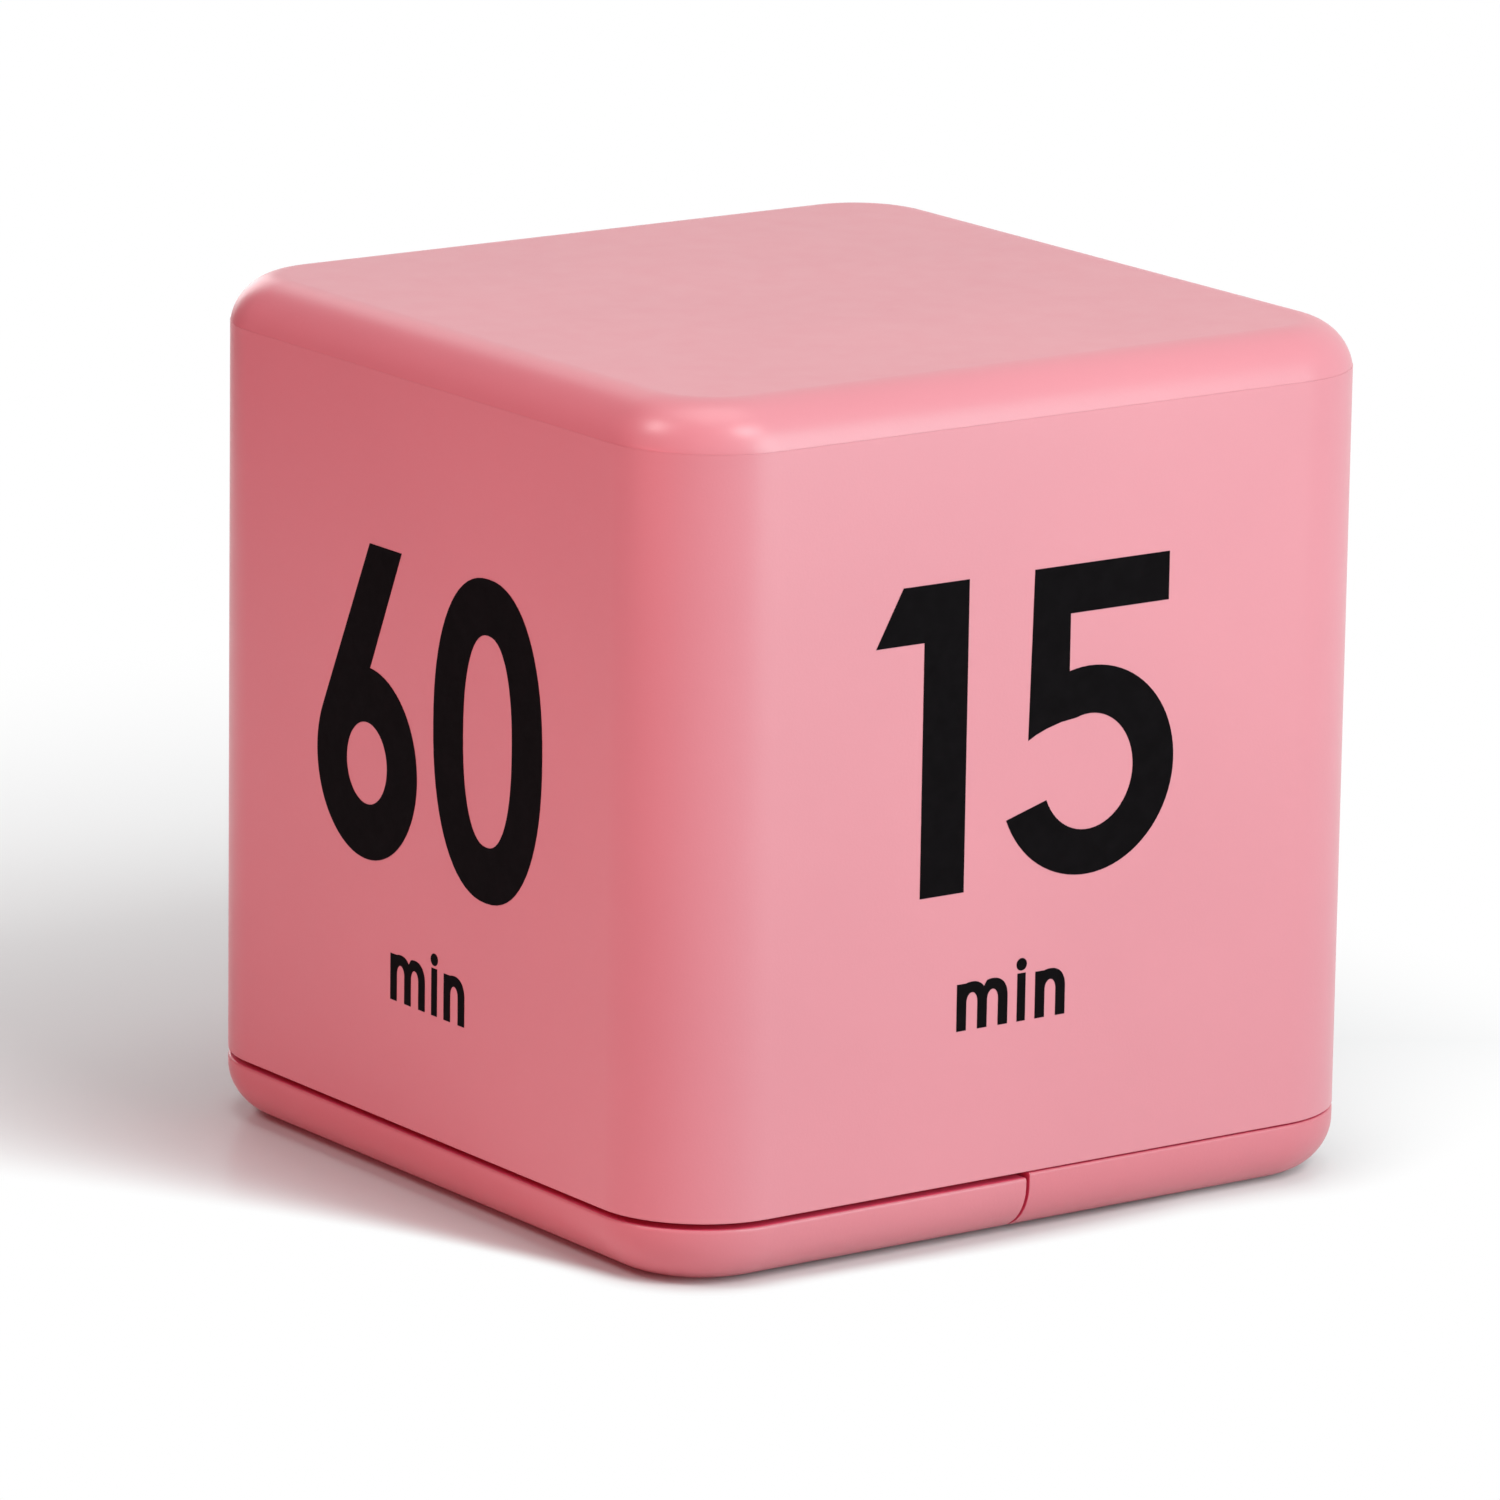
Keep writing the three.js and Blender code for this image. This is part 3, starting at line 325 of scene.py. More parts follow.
# How far a quarter-round rim of radius 1 draws the plan in, and how far it lies from the end
QUARTER = np.radians(np.linspace(90, 0, FILLET_STEPS + 1))
DRAWN = 1 - np.cos(QUARTER)
CLOSING = 1 - np.sin(QUARTER)


def prism(middle, half, corner, bottom, top, rim=SOFT, steps=8):
    """An upright block with a rounded plan: its rims follow a quarter circle, which draws the plan in by
    rim * (1 - cos a) at a height of rim * (1 - sin a) from the end."""
    drawn = rim * DRAWN
    heights = np.concatenate([bottom + rim * CLOSING, (top - rim * CLOSING)[::-1]])
    profile = zip([*drawn, *drawn[::-1]], heights)
    block = carried(profile, lambda inset: plan_ring(half, corner, inset, steps))
    return moved(block, (middle[0], middle[1], 0))


def slab(x, y, z, rim=SOFT):
    """A block between two places along each axis, with all its edges rounded."""
    middle = ((x[0] + x[1]) / 2, (y[0] + y[1]) / 2)
    half = (abs(x[1] - x[0]) / 2, abs(y[1] - y[0]) / 2)
    return prism(middle, half, rim, z[0], z[1], rim, FILLET_STEPS)


def both_sides(x, y, z, rim=SOFT):
    """A block and its mirror image on the other side of the cube's middle."""
    return [slab(x, (side * y[0], side * y[1]), z, rim) for side in (-1, 1)]


def rod(middle, radius, bottom, top, rim=SOFT, steps=12):
    """An upright round bar."""
    return prism(middle, (radius, radius), radius, bottom, top, rim, steps)


def opening(middle, half, corner, depth, steps=8, mouth=SOFT):
    """What is cut from the underside for a pocket or a hole: straight walls up to depth, and a mouth
    that flares along a quarter circle, outwards by mouth * (1 - cos a) at height mouth * (1 - sin a)."""
    outsets = [mouth + OVERRUN / 2, *(mouth * DRAWN), 0]
    profile = zip(outsets, [-OVERRUN, *(mouth * CLOSING), depth])
    block = carried(profile, lambda outset: plan_ring(half, corner, -outset, steps))
    return moved(block, (middle[0], middle[1], 0))


def round_opening(middle, radius, depth, mouth=SOFT):
    """A round pocket or hole to cut from the underside."""
    return opening(middle, (radius, radius), radius, depth, 10, mouth)


def lathe(profile, steps=64):
    """A profile of (radius, height) turned round Z: each ring is radius * (cos a, sin a)."""
    a = np.linspace(0, 2 * math.pi, steps, endpoint=False)
    circle = np.stack([np.cos(a), np.sin(a)], 1)
    return carried(profile, lambda radius: radius * circle)


def tube(path, radius, sides=10):
    """A round section carried along a path: at each point the section lies in the plane square to the
    path, spanned by the path's normal, turned as little as the path lets it, and their cross product."""
    path = np.asarray(path, float)
    along = np.gradient(path, axis=0)
    along /= np.linalg.norm(along, axis=1)[:, None]
    normal = np.cross(along[0], np.eye(3)[np.argmin(np.abs(along[0]))])
    normals = []
    for direction in along:
        normal = unit(normal - (normal @ direction) * direction)
        normals.append(normal)
    normals = np.array(normals)
    sideways = np.cross(along, normals)
    a = np.linspace(0, 2 * math.pi, sides, endpoint=False)[None, :, None]
    return skin(path[:, None] + radius * (np.cos(a) * normals[:, None] + np.sin(a) * sideways[:, None]))


def together(meshes):
    """Several meshes as one, without joining their surfaces."""
    shape = bmesh.new()
    for mesh in meshes:
        shape.from_mesh(mesh)
    whole = bpy.data.meshes.new("shape")
    shape.to_mesh(whole)
    shape.free()
    return whole


def in_scene(name, data):
    """A new object in the scene."""
    made = bpy.data.objects.new(name, data)
    bpy.context.scene.collection.objects.link(made)
    return made


def combined(base, tools, how):
    """The base mesh joined with the tools (UNION) or cut by them (DIFFERENCE), one after the other."""
    holder = in_scene("holder", base)
    for tool in tools:
        cutter = in_scene("cutter", tool)
        change = holder.modifiers.new("change", "BOOLEAN")
        change.object = cutter
        change.operation = how
        change.solver = "EXACT"
        bpy.context.view_layer.update()
        changed = holder.evaluated_get(bpy.context.evaluated_depsgraph_get())
        made = bpy.data.meshes.new_from_object(changed)
        holder.modifiers.clear()
        holder.data = made
        bpy.data.objects.remove(cutter)
    bpy.data.objects.remove(holder)
    return made


def joined(base, tools):
    """The base with each tool joined to it."""
    return combined(base, tools, "UNION")


def cut(base, tools):
    """The base with each tool cut from it."""
    return combined(base, tools, "DIFFERENCE")


def drawing(outlines, depth):
    """Flat outlines filled, with holes where one lies in another, as a plate of some depth in X and Y."""
    curve = bpy.data.curves.new("outline", "CURVE")
    curve.dimensions = "2D"
    curve.fill_mode = "BOTH"
    curve.extrude = depth / 2
    for outline in outlines:
        line = curve.splines.new("POLY")
        line.points.add(len(outline) - 1)
        flat = np.column_stack([outline, np.zeros(len(outline)), np.ones(len(outline))])
        line.points.foreach_set("co", flat.ravel())
        line.use_cyclic_u = True
    holder = bpy.data.objects.new("outline", curve)
    mesh = bpy.data.meshes.new_from_object(holder)
    bpy.data.objects.remove(holder)
    return worked(mesh, merge_points, face_outwards)


def piece(name, mesh, body, materials, replaced=()):
    """A finished piece: smooth but for its sharp edges, with flat faces kept flat, riding on a body."""
    worked(mesh, merge_points)
    mesh.polygons.foreach_set("use_smooth", np.ones(len(mesh.polygons), bool))
    mesh.set_sharp_from_angle(angle=SMOOTH_ANGLE)
    mesh.name = name
    mesh.materials.clear()
    for material in materials:
        mesh.materials.append(material)
    made = in_scene(name, mesh)
    even = made.modifiers.new("even_faces", "WEIGHTED_NORMAL")
    even.keep_sharp = True
    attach(made, body)
    if replaced:
        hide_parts(*replaced)
    return made


def faces_of(mesh):
    """The middles and the directions of a mesh's faces."""
    middles = np.empty(3 * len(mesh.polygons))
    directions = np.empty(3 * len(mesh.polygons))
    mesh.polygons.foreach_get("center", middles)
    mesh.polygons.foreach_get("normal", directions)
    return middles.reshape(-1, 3), directions.reshape(-1, 3)


def second_finish(made, chosen):
    """Gives the chosen faces the piece's second material."""
    made.data.polygons.foreach_set("material_index", chosen.astype(np.int32))


# Finishes

WHITE = (1, 1, 1)
BAND_START = 12 * MM


class Reading:
    """A value inside a material, on which sums add Math nodes."""

    def __init__(self, finish, socket):
        self.finish = finish
        self.socket = socket

    def sum(self, how, first, second):
        return self.finish.node("ShaderNodeMath", {"operation": how}, {0: first, 1: second})

    def __add__(self, other):
        return self.sum("ADD", self, other)

    __radd__ = __add__

    def __sub__(self, other):
        return self.sum("SUBTRACT", self, other)

    def __rsub__(self, other):
        return self.sum("SUBTRACT", other, self)

    def __mul__(self, other):
        return self.sum("MULTIPLY", self, other)

    __rmul__ = __mul__

    def __pow__(self, other):
        return self.sum("POWER", self, other)

    def above(self, other):
        return self.sum("GREATER_THAN", self, other)

    def most(self, other):
        return self.sum("MAXIMUM", self, other)


class Finish:
    """A material, or the world round it, under construction."""

    def __init__(self, name, kept_in=bpy.data.materials):
        self.material = kept_in.new(name)
        self.material.use_nodes = True
        self.tree = self.material.node_tree
        self.tree.nodes.clear()

    def node(self, kind, settings=None, inputs=None, output=0):
        """Adds any node and returns its result. Colours are given without their cover, which is 1."""
        made = self.tree.nodes.new(kind)
        for key, value in (settings or {}).items():
            setattr(made, key, value)
        for key, value in (inputs or {}).items():
            socket = made.inputs[key]
            if isinstance(value, Reading):
                self.tree.links.new(value.socket, socket)
            else:
                socket.default_value = (*value, 1) if socket.type == "RGBA" else value
        return Reading(self, made.outputs[output]) if made.outputs else None

    def place(self, scale=(1, 1, 1)):
        """A point's place on the piece, stretched along the axes."""
        own = self.node("ShaderNodeTexCoord", output="Object")
        return self.node("ShaderNodeMapping", {}, {"Vector": own, "Scale": scale})

    def along(self, axis):
        """A point's place along one axis."""
        return self.node("ShaderNodeSeparateXYZ", {}, {"Vector": self.place()}, output=axis)

    def noise(self, scale, detail, place=None):
        """Cloudy values from 0 to 1, scale of them to a metre."""
        where = place or self.place()
        return self.node("ShaderNodeTexNoise", {}, {"Vector": where, "Scale": scale, "Detail": detail})

    def bands(self, way, scale, **inputs):
        """Waves from 0 to 1 across one way."""
        where = {"Vector": self.place(), "Scale": scale, **inputs}
        return self.node("ShaderNodeTexWave", {"wave_type": "BANDS", "bands_direction": way}, where)

    def blend(self, share, first, second):
        """One colour going over to another as the share goes from 0 to 1."""
        ends = {0: share, 6: first, 7: second}
        return self.node("ShaderNodeMix", {"data_type": "RGBA"}, ends, output=2)

    def vector(self, how, first, second=(0, 0, 0)):
        """A sum on places. A length or a product comes out as a number."""
        output = "Value" if how in ("LENGTH", "DOT_PRODUCT") else "Vector"
        return self.node("ShaderNodeVectorMath", {"operation": how}, {0: first, 1: second}, output)

    def spread(self, value, start, end, low_end=0.0, high_end=1.0, how="LINEAR"):
        """The stretch from start to end of a value, drawn out to the range from low_end to high_end."""
        ends = {"Value": value, "From Min": start, "From Max": end, "To Min": low_end, "To Max": high_end}
        return self.node("ShaderNodeMapRange", {"interpolation_type": how}, ends)

    def relief(self, height, depth):
        """The surface's direction with a relief of some depth in metres."""
        ends = {"Height": height, "Distance": depth, "Strength": 1.0}
        return self.node("ShaderNodeBump", {}, ends)

    def done(self, surface, kind="Material"):
        """The finished material, or the world, with the surface that it shows."""
        self.node(f"ShaderNodeOutput{kind}", {}, {"Surface": surface})
        return self.material

    def shade(self, colour, roughness, normal, **sockets):
        """The finished surface, with the shader's other sockets by their names."""
        inputs = {"Base Color": colour, "Roughness": roughness, "Normal": normal}
        inputs.update({key.replace("_", " "): value for key, value in sockets.items()})
        return self.done(self.node("ShaderNodeBsdfPrincipled", {}, inputs))


def clouded(name, colour, deep, cloud, gloss, grains, **sockets):
    """A finish of three cloudy patterns. The colour drifts to a deeper one where cloud, given as (scale,
    detail, start, end), rises. The gloss is (scale, detail, range, least roughness). Each grain is
    (scale, detail, depth in metres), and their heights add up."""
    finish = Finish(name)
    drift = finish.spread(finish.noise(*cloud[:2]), *cloud[2:])
    depth = grains[0][2]
    height = sum((part / depth) * finish.noise(scale, detail) for scale, detail, part in grains)
    return finish.shade(
        finish.blend(drift, colour, deep),
        finish.noise(*gloss[:2]) * gloss[2] + gloss[3],
        finish.relief(height, depth),
        **sockets,
    )


def moulded(name, colour, deep, roughness, grain=0.006, specular=0.5):
    """Satin moulded plastic: a fine spark-eroded grain over slow waves, a slow drift of colour towards a
    deeper tone and a faint unevenness of gloss."""
    depth = grain * MM
    grains = [(5200, 2, depth), (1900, 2, 0.6 * depth), (55, 1, 3 * depth)]
    gloss = (420, 3, 0.08, roughness - 0.04)
    return clouded(name, colour, deep, (38, 2, 0.3, 0.7), gloss, grains, Specular_IOR_Level=specular)


def dull(name, colour, deep, roughness, grain=0.01, scale=1500.0):
    """A plain dull body such as resin, ceramic, ferrite or rubber, with its own grain and mottling."""
    gloss = (scale, 2, 0.15, roughness - 0.07)
    return clouded(name, colour, deep, (scale / 4, 4, 0.3, 0.7), gloss, [(scale * 2, 3, grain * MM)])


def liquid_display(name, colour, deep):
    """The polarised glass of a reflective display: grey-green, slowly uneven, with a satin film."""
    gloss = (700, 2, 0.06, 0.24)
    film = {"Coat_Weight": 0.3, "Coat_Roughness": 0.1}
    return clouded(name, colour, deep, (70, 2, 0.3, 0.7), gloss, [(4200, 2, 0.002 * MM)], **film)


def metal(name, colour, worn, roughness, stretch):
    """Drawn or plated metal: hair-fine drawing lines along the stretched way and cloudy tarnish."""
    finish = Finish(name)
    lines = finish.noise(2600, 3, finish.place(stretch))
    tarnish = finish.spread(finish.noise(160, 4), 0.35, 0.7)
    return finish.shade(
        finish.blend(tarnish, colour, worn),
        lines * 0.14 + tarnish * 0.08 + (roughness - 0.1),
        finish.relief(lines, 0.004 * MM),
        Metallic=1.0,
    )


def clear_pane(name):
    """Clear moulded plastic with a faint haze of handling on it."""
    finish = Finish(name)
    haze = finish.spread(finish.noise(240, 4), 0.4, 0.8, 0.03, 0.12)
    return finish.shade(
        finish.blend(haze, (0.97, 0.98, 0.98), (0.9, 0.92, 0.93)),
        haze,
        finish.relief(finish.noise(90, 1), 0.003 * MM),
        Transmission_Weight=0.96,
        Alpha=0.4,
        IOR=1.49,
    )


def laminate(name):
    """Green solder mask over copper: tracks run in bands under the mask, and the weave shows faintly."""
    finish = Finish(name)
    bends = {"Distortion": 2.2, "Detail": 1.0, "Detail Scale": 40.0}
    tracks = finish.spread(finish.bands("DIAGONAL", 130.0, **bends), 0.6, 0.64)
    weave = finish.bands("X", 900.0, Distortion=0.5)
    drift = finish.spread(finish.along("X"), -0.03, 0.03, 0.0, 0.15)
    return finish.shade(
        finish.blend(tracks + drift, (0.012, 0.11, 0.04), (0.03, 0.2, 0.07)),
        weave * 0.06 + 0.3,
        finish.relief(tracks + 0.2 * weave, 0.03 * MM),
    )


def striped_rubber(name):
    """The strip under the glass: thin conducting layers run across pink rubber."""
    finish = Finish(name)
    layers = finish.bands("Y", 800.0)
    return finish.shade(
        finish.blend(layers, (0.65, 0.3, 0.34), (0.03, 0.03, 0.03)),
        finish.noise(1200, 2) * 0.1 + 0.6,
        finish.relief(layers, 0.01 * MM),
    )


def sleeve(name, nub_way):
    """A shrunk cell label: the dark body ends in a copper-coloured band towards the nub, with a slight
    sheen and shallow waves where the film shrank."""
    finish = Finish(name)
    banded = (finish.along("Y") * nub_way).above(BAND_START)
    wear = finish.spread(finish.noise(300, 4), 0.55, 0.8, 0.0, 0.3)
    body = finish.blend(wear, (0.022, 0.025, 0.03), (0.12, 0.12, 0.13))
    return finish.shade(
        finish.blend(banded, body, (0.62, 0.34, 0.12)),
        finish.noise(900, 2) * 0.1 + 0.26,
        finish.relief(finish.noise(210, 1), 0.05 * MM),
        Metallic=banded * 0.55,
        Coat_Weight=0.4,
        Coat_Roughness=0.15,
    )


PINK = moulded("pink_satin", (0.695, 0.224, 0.262), (0.665, 0.212, 0.250), 0.34)
# The door's and the base's pinks are darker copies of the walls' pink: painted shade on the cube's lower
# parts
PINK_DOOR_SHADED = moulded("pink_satin_door_painted_shade", (0.672, 0.198, 0.232), (0.643, 0.189, 0.222), 0.35, specular=0.35)
PINK_BASE_SHADED = moulded("pink_satin_base_painted_shade", (0.662, 0.178, 0.212), (0.634, 0.170, 0.202), 0.36, specular=0.35)
# A deeper, redder copy of the pink for the faces that line the seams: painted shade between the parts
PINK_SEAM_SHADE = moulded("pink_painted_seam_shade", (0.80, 0.085, 0.168), (0.77, 0.078, 0.158), 0.45, specular=0.35)
HOLDER = moulded("holder_white", (0.78, 0.76, 0.70), (0.72, 0.7, 0.64), 0.5)
BLACK_PLASTIC = moulded("knob_black", (0.022, 0.022, 0.025), (0.016, 0.016, 0.018), 0.45, 0.012)
INK_BLACK = clouded(
    "print_ink", (0.0034, 0.0022, 0.0026), (0.0050, 0.0034, 0.0040), (900, 3, 0.35, 0.75),
    (2600, 2, 0.2, 0.45), [(3600, 2, 0.004 * MM)], Specular_IOR_Level=0.02,
)
CLEAR = clear_pane("window_clear")
FRONT_GLASS = liquid_display("display_front", (0.36, 0.41, 0.31), (0.33, 0.38, 0.29))
REAR_GLASS = liquid_display("display_rear", (0.40, 0.43, 0.36), (0.36, 0.4, 0.33))
SEGMENT = dull("display_segments", (0.25, 0.29, 0.22), (0.23, 0.27, 0.2), 0.35, 0.002)
RESIN = dull("chip_resin", (0.006, 0.006, 0.007), (0.012, 0.011, 0.012), 0.3, 0.004, 500.0)
CERAMIC = dull("sounder_ceramic", (0.76, 0.73, 0.64), (0.66, 0.63, 0.55), 0.6, 0.01, 1800.0)
FERRITE = dull("coil_ferrite", (0.03, 0.028, 0.027), (0.05, 0.045, 0.042), 0.75, 0.02, 2200.0)
CAN_SLEEVE = dull("capacitor_film", (0.01, 0.018, 0.05), (0.014, 0.024, 0.065), 0.32, 0.004, 600.0)
RED_WIRE = dull("wire_red", (0.45, 0.012, 0.01), (0.38, 0.01, 0.008), 0.5, 0.006, 900.0)
BLACK_WIRE = dull("wire_black", (0.012, 0.012, 0.013), (0.02, 0.02, 0.021), 0.5, 0.006, 900.0)
NICKEL = metal("nickel_plate", (0.62, 0.60, 0.55), (0.5, 0.47, 0.42), 0.32, (1, 1, 6))
STEEL = metal("screw_steel", (0.52, 0.53, 0.54), (0.4, 0.4, 0.4), 0.36, (1, 1, 4))
BRASS = metal("sounder_brass", (0.78, 0.55, 0.22), (0.6, 0.38, 0.14), 0.34, (5, 1, 1))
RUBBER = striped_rubber("contact_rubber")
BOARD = laminate("board_green")


# The shells


def walls():
    """The four walls: a closed profile of (inset, height), with soft rims, carried round the cube's
    plan. The outer side lies an ink's thickness in, so that the prints finish flush."""
    profile = filleted(
        [(INK, WALLS_LOW), (INK, TOP_SEAM - TIGHT), (WALL, TOP_SEAM - TIGHT), (WALL, WALLS_LOW)],
        [RIM, TIGHT, SOFT, SOFT],
    )
    shell = carried(profile, cube_ring, closed=True)
    rib_heights = (BASE_RIM + LIP_REACH + FIT, BOSS_HIGH)
    parts = []
    for x, y, _ in SCREW_PLACES:
        wall = math.copysign(INNER + WELD, y)
        parts.append(rod((x, y), BOSS, POST_HIGH + FIT, BOSS_HIGH))
        parts.append(slab((x, INNER + WELD), about(y, RIB), rib_heights))
        parts.append(slab(about(x, RIB), (y, wall), rib_heights))
    for y in HOOK_PLACES:
        across = (-INNER - WELD, LEDGE[1] - INNER)
        parts.append(slab(across, about(y, LEDGE[0] / 2), (LEDGE_HIGH - LEDGE[2], LEDGE_HIGH)))
    ends = (POST_HIGH - OVERRUN, high("case_screw_1")[2] + OVERRUN)
    pilots = [rod(place, SHANK + FIT, *ends) for place in SCREW_PLACES]
    return cut(joined(shell, parts), pilots)


def top_shell():
    """The top cover: from the middle of its upper side the profile runs out along the rounded edge's
    quarter circle as far as the seam, in and down the lip, and back up to the ceiling."""
    seam_angle = math.degrees(math.asin((TOP_SEAM - SIDE + EDGE) / EDGE))
    edge = arc((0, SIDE - EDGE), EDGE, 90, seam_angle, EDGE_STEPS)
    edge[:, 0] = EDGE - edge[:, 0]
    lip_out = WALL + FIT
    lip_in = lip_out + LIP
    lip_low = TOP_SEAM - LIP_REACH
    ceiling = SIDE - WALL
    below = filleted(
        [edge[-2], edge[-1], (lip_out, TOP_SEAM), (lip_out, lip_low), (lip_in, lip_low),
         (lip_in, ceiling), (lip_in + EDGE, ceiling)],
        [0, TIGHT, 0, SOFT, SOFT, SOFT, 0],
    )
    return carried(np.vstack([edge[:-1], below[1:]]), cube_ring)


def base_half(edge, side, rim):
    """One half of the base as a tray: the profile runs from the inner floor up the wall, over the rim,
    down the outside, an ink's thickness in as the walls are, and round the bottom edge's quarter circle,
    along the plan to one side of the parting line. Its cut end is flat, with softened edges."""
    a = np.radians(np.linspace(0, 90, EDGE_STEPS + 1))
    inside = filleted(
        [(WALL + EDGE, WALL), (WALL, WALL), (WALL, rim), (INK, rim), (INK, EDGE)],
        [0, SOFT, SOFT, BASE_RIM_ROUND, 0],
    )
    bottom = np.stack([EDGE - EDGE * np.cos(a), EDGE - EDGE * np.sin(a)], 1)
    bottom[:3, 0] += np.array([1.0, 0.6, 0.2]) * INK
    profile = np.vstack([inside[:-1], bottom])
    mesh = carried(profile, lambda inset: half_ring(edge, side, inset), wrap=False)

    def soften_end(shape):
        end = min(shape.faces, key=lambda face: abs(face.calc_center_median().x - edge))
        rounding = {"offset": CUT_END_ROUND, "segments": 2, "profile": 0.5, "affect": "EDGES"}
        bmesh.ops.bevel(shape, geom=list(end.edges), **rounding)

    return worked(mesh, soften_end)


def tongues(x, gap):
    """The two tongues of the door, or the rebates that take them with a gap all round."""
    heights = (WALL - TONGUE[2] - gap, WALL + gap)
    return [slab(x, about(y, TONGUE[1] / 2 + gap), heights) for y in (-TONGUE_PLACE, TONGUE_PLACE)]


def door_shell():
    """The battery door: rails along its inner sides, two tongues at the parting line and five grooves
    for a thumb."""
    shell = base_half(DOOR_EDGE, -1, DOOR_HIGH)
    heights = (TRAY_LOW + RAIL + FIT, DOOR_HIGH - SOFT)
    rails = both_sides((RAIL_START, DOOR_EDGE - SOFT), (INNER - RAIL_REACH, INNER + WELD), heights)
    reach = tongues((DOOR_EDGE - 2 * WELD, TRAY_RIGHT + TONGUE[0]), 0)
    grooves = [
        opening((GRIP_START + i * GRIP_PITCH, 0), GRIP / 2, GRIP_CORNER, GRIP[2], 6, RIM)
        for i in range(GRIPS)
    ]
    return cut(joined(shell, rails + reach), grooves)


def trough_shape():
    """The space of the two cells: upright sides below each cell's axis and a half circle over it."""
    outline = np.concatenate([
        [[NEAR_CELL[0] + TROUGH, TRAY_LOW - OVERRUN]],
        arc((NEAR_CELL[0], CELL_AXIS), TROUGH, 0, 180, 32),
        arc((FAR_CELL[0], CELL_AXIS), TROUGH, 0, 180, 32),
        [[FAR_CELL[0] - TROUGH, TRAY_LOW - OVERRUN]],
    ])
    ends = (-TRAY_INNER, TRAY_INNER)
    return skin([np.insert(outline, 1, y, axis=1) for y in ends])


def battery_tray():
    """The tray over the cells, with its foot on the base, rails for the door, and two hooks."""
    whole = (-TRAY_HALF, TRAY_HALF)
    block = slab((TRAY_LEFT, TRAY_RIGHT), whole, (TRAY_LOW, TRAY_HIGH), TRAY_EDGE)
    foot = slab((BASE_EDGE + RIM, TRAY_RIGHT), whole, (WALL - WELD, TRAY_HIGH - OVERRUN), SHARP)
    out = (TRAY_HALF - WELD, INNER - TRAY_RAIL_GAP)
    rails = both_sides((RAIL_START, DOOR_EDGE), out, (TRAY_LOW, TRAY_LOW + RAIL))
    across = (HOOK_GAP - INNER, TRAY_LEFT + WELD)
    hook_low = LEDGE_HIGH + FIT
    hooks = [slab(across, about(y, HOOK[0] / 2), (hook_low, hook_low + HOOK[1])) for y in HOOK_PLACES]
    plate_low, plate_high = low("bridge_contact"), high("bridge_contact")
    plate = (plate_low[0] - FIT, plate_high[0] + FIT)
    depth = (TRAY_INNER - POCKET, TRAY_INNER)
    pockets = both_sides(plate, depth, (CELL_AXIS, plate_high[2] + FIT), SHARP)
    outwards = (plate_high[2], TRAY_HIGH + OVERRUN)
    slots = [
        slab(about(x, TAB_WIDTH / 2 + FIT), (-depth[1], -depth[0]), outwards, SHARP)
        for x in (NEAR_CELL[0], FAR_CELL[0])
    ]
    return cut(joined(block, [foot, *rails, *hooks]), [trough_shape(), *pockets, *slots])


def base_lip():
    """The lip that stands up inside the walls along the fixed half, on a foot that joins the base."""
    out, low_out, foot_top = WALL + FIT, WALL - WELD, BASE_RIM - WELD
    profile = filleted(
        [(low_out, low_out), (low_out, foot_top), (out, foot_top), (out, BASE_RIM + LIP_REACH),
         (out + LIP, BASE_RIM + LIP_REACH), (out + LIP, low_out)],
        [0, 0, 0, SOFT, SOFT, 0],
    )
    return carried(profile, lambda inset: half_ring(BASE_EDGE + SOFT, 1, inset), wrap=False, closed=True)


def base_shell():
    """The fixed half of the base with all that it carries and the openings of the underside."""
    floor = WALL - WELD
    through = WALL + OVERRUN
    posts = [rod(p, POST, floor, POST_HIGH) for p in SCREW_PLACES]
    ring = rod(SOUNDER, SOUNDER_RADIUS, floor, low("piezo_disc")[2] - SHARP, SOFT, RING_STEPS)
    columns = [rod(p, STANDOFF, floor, BOARD_LOW) for p in BOARD_PLACES]
    bore = rod(SOUNDER, SOUNDER_RADIUS - LIP, WALL - 4 * TIGHT, WALL + 3 * OVERRUN, SOFT, RING_STEPS)
    ends = (BOARD_LOW - BOARD_BORE, BOARD_LOW + OVERRUN)
    pilots = [rod(p, BOARD_SHANK + FIT, *ends, SHARP) for p in BOARD_PLACES]
    recesses = [round_opening(p, RECESS, RECESS_DEPTH, RIM) for p in SCREW_PLACES]
    holes = [rod(p, SHANK + FIT, RECESS_DEPTH - OVERRUN, POST_HIGH + OVERRUN) for p in SCREW_PLACES]
    around = np.radians(np.arange(SOUND_HOLES) * 360 / SOUND_HOLES)
    circle = np.stack([np.cos(around), np.sin(around)], 1)
    places = [SOUNDER[:2], *(SOUNDER[:2] + SOUND_PITCH * circle)]
    sound = [round_opening(p, SOUND_HOLE, through) for p in places]
    pane = WINDOW_HALF + FIT
    window = opening(WINDOW_MIDDLE, pane, WINDOW_CORNER + FIT, high("display_window")[2] + SHARP)
    view = prism(WINDOW_MIDDLE, pane - WINDOW_LEDGE, SMALL_CORNER, 0, through)
    pocket = opening(SWITCH_MIDDLE, SWITCH_POCKET, SMALL_CORNER, SWITCH_POCKET[2])
    slot = prism(SWITCH_MIDDLE, (STEM + FIT, STEM + TRAVEL / 2 + FIT), STEM_CORNER, 0, through)
    rebates = tongues((BASE_EDGE - OVERRUN, TRAY_RIGHT + TONGUE[0] + FIT), FIT)
    parts = [base_lip(), battery_tray(), *posts, ring, *columns]
    whole = joined(base_half(BASE_EDGE, 1, BASE_RIM), parts)
    return cut(whole, [bore, *pilots, *recesses, *holes, window, view, pocket, slot, *sound, *rebates])


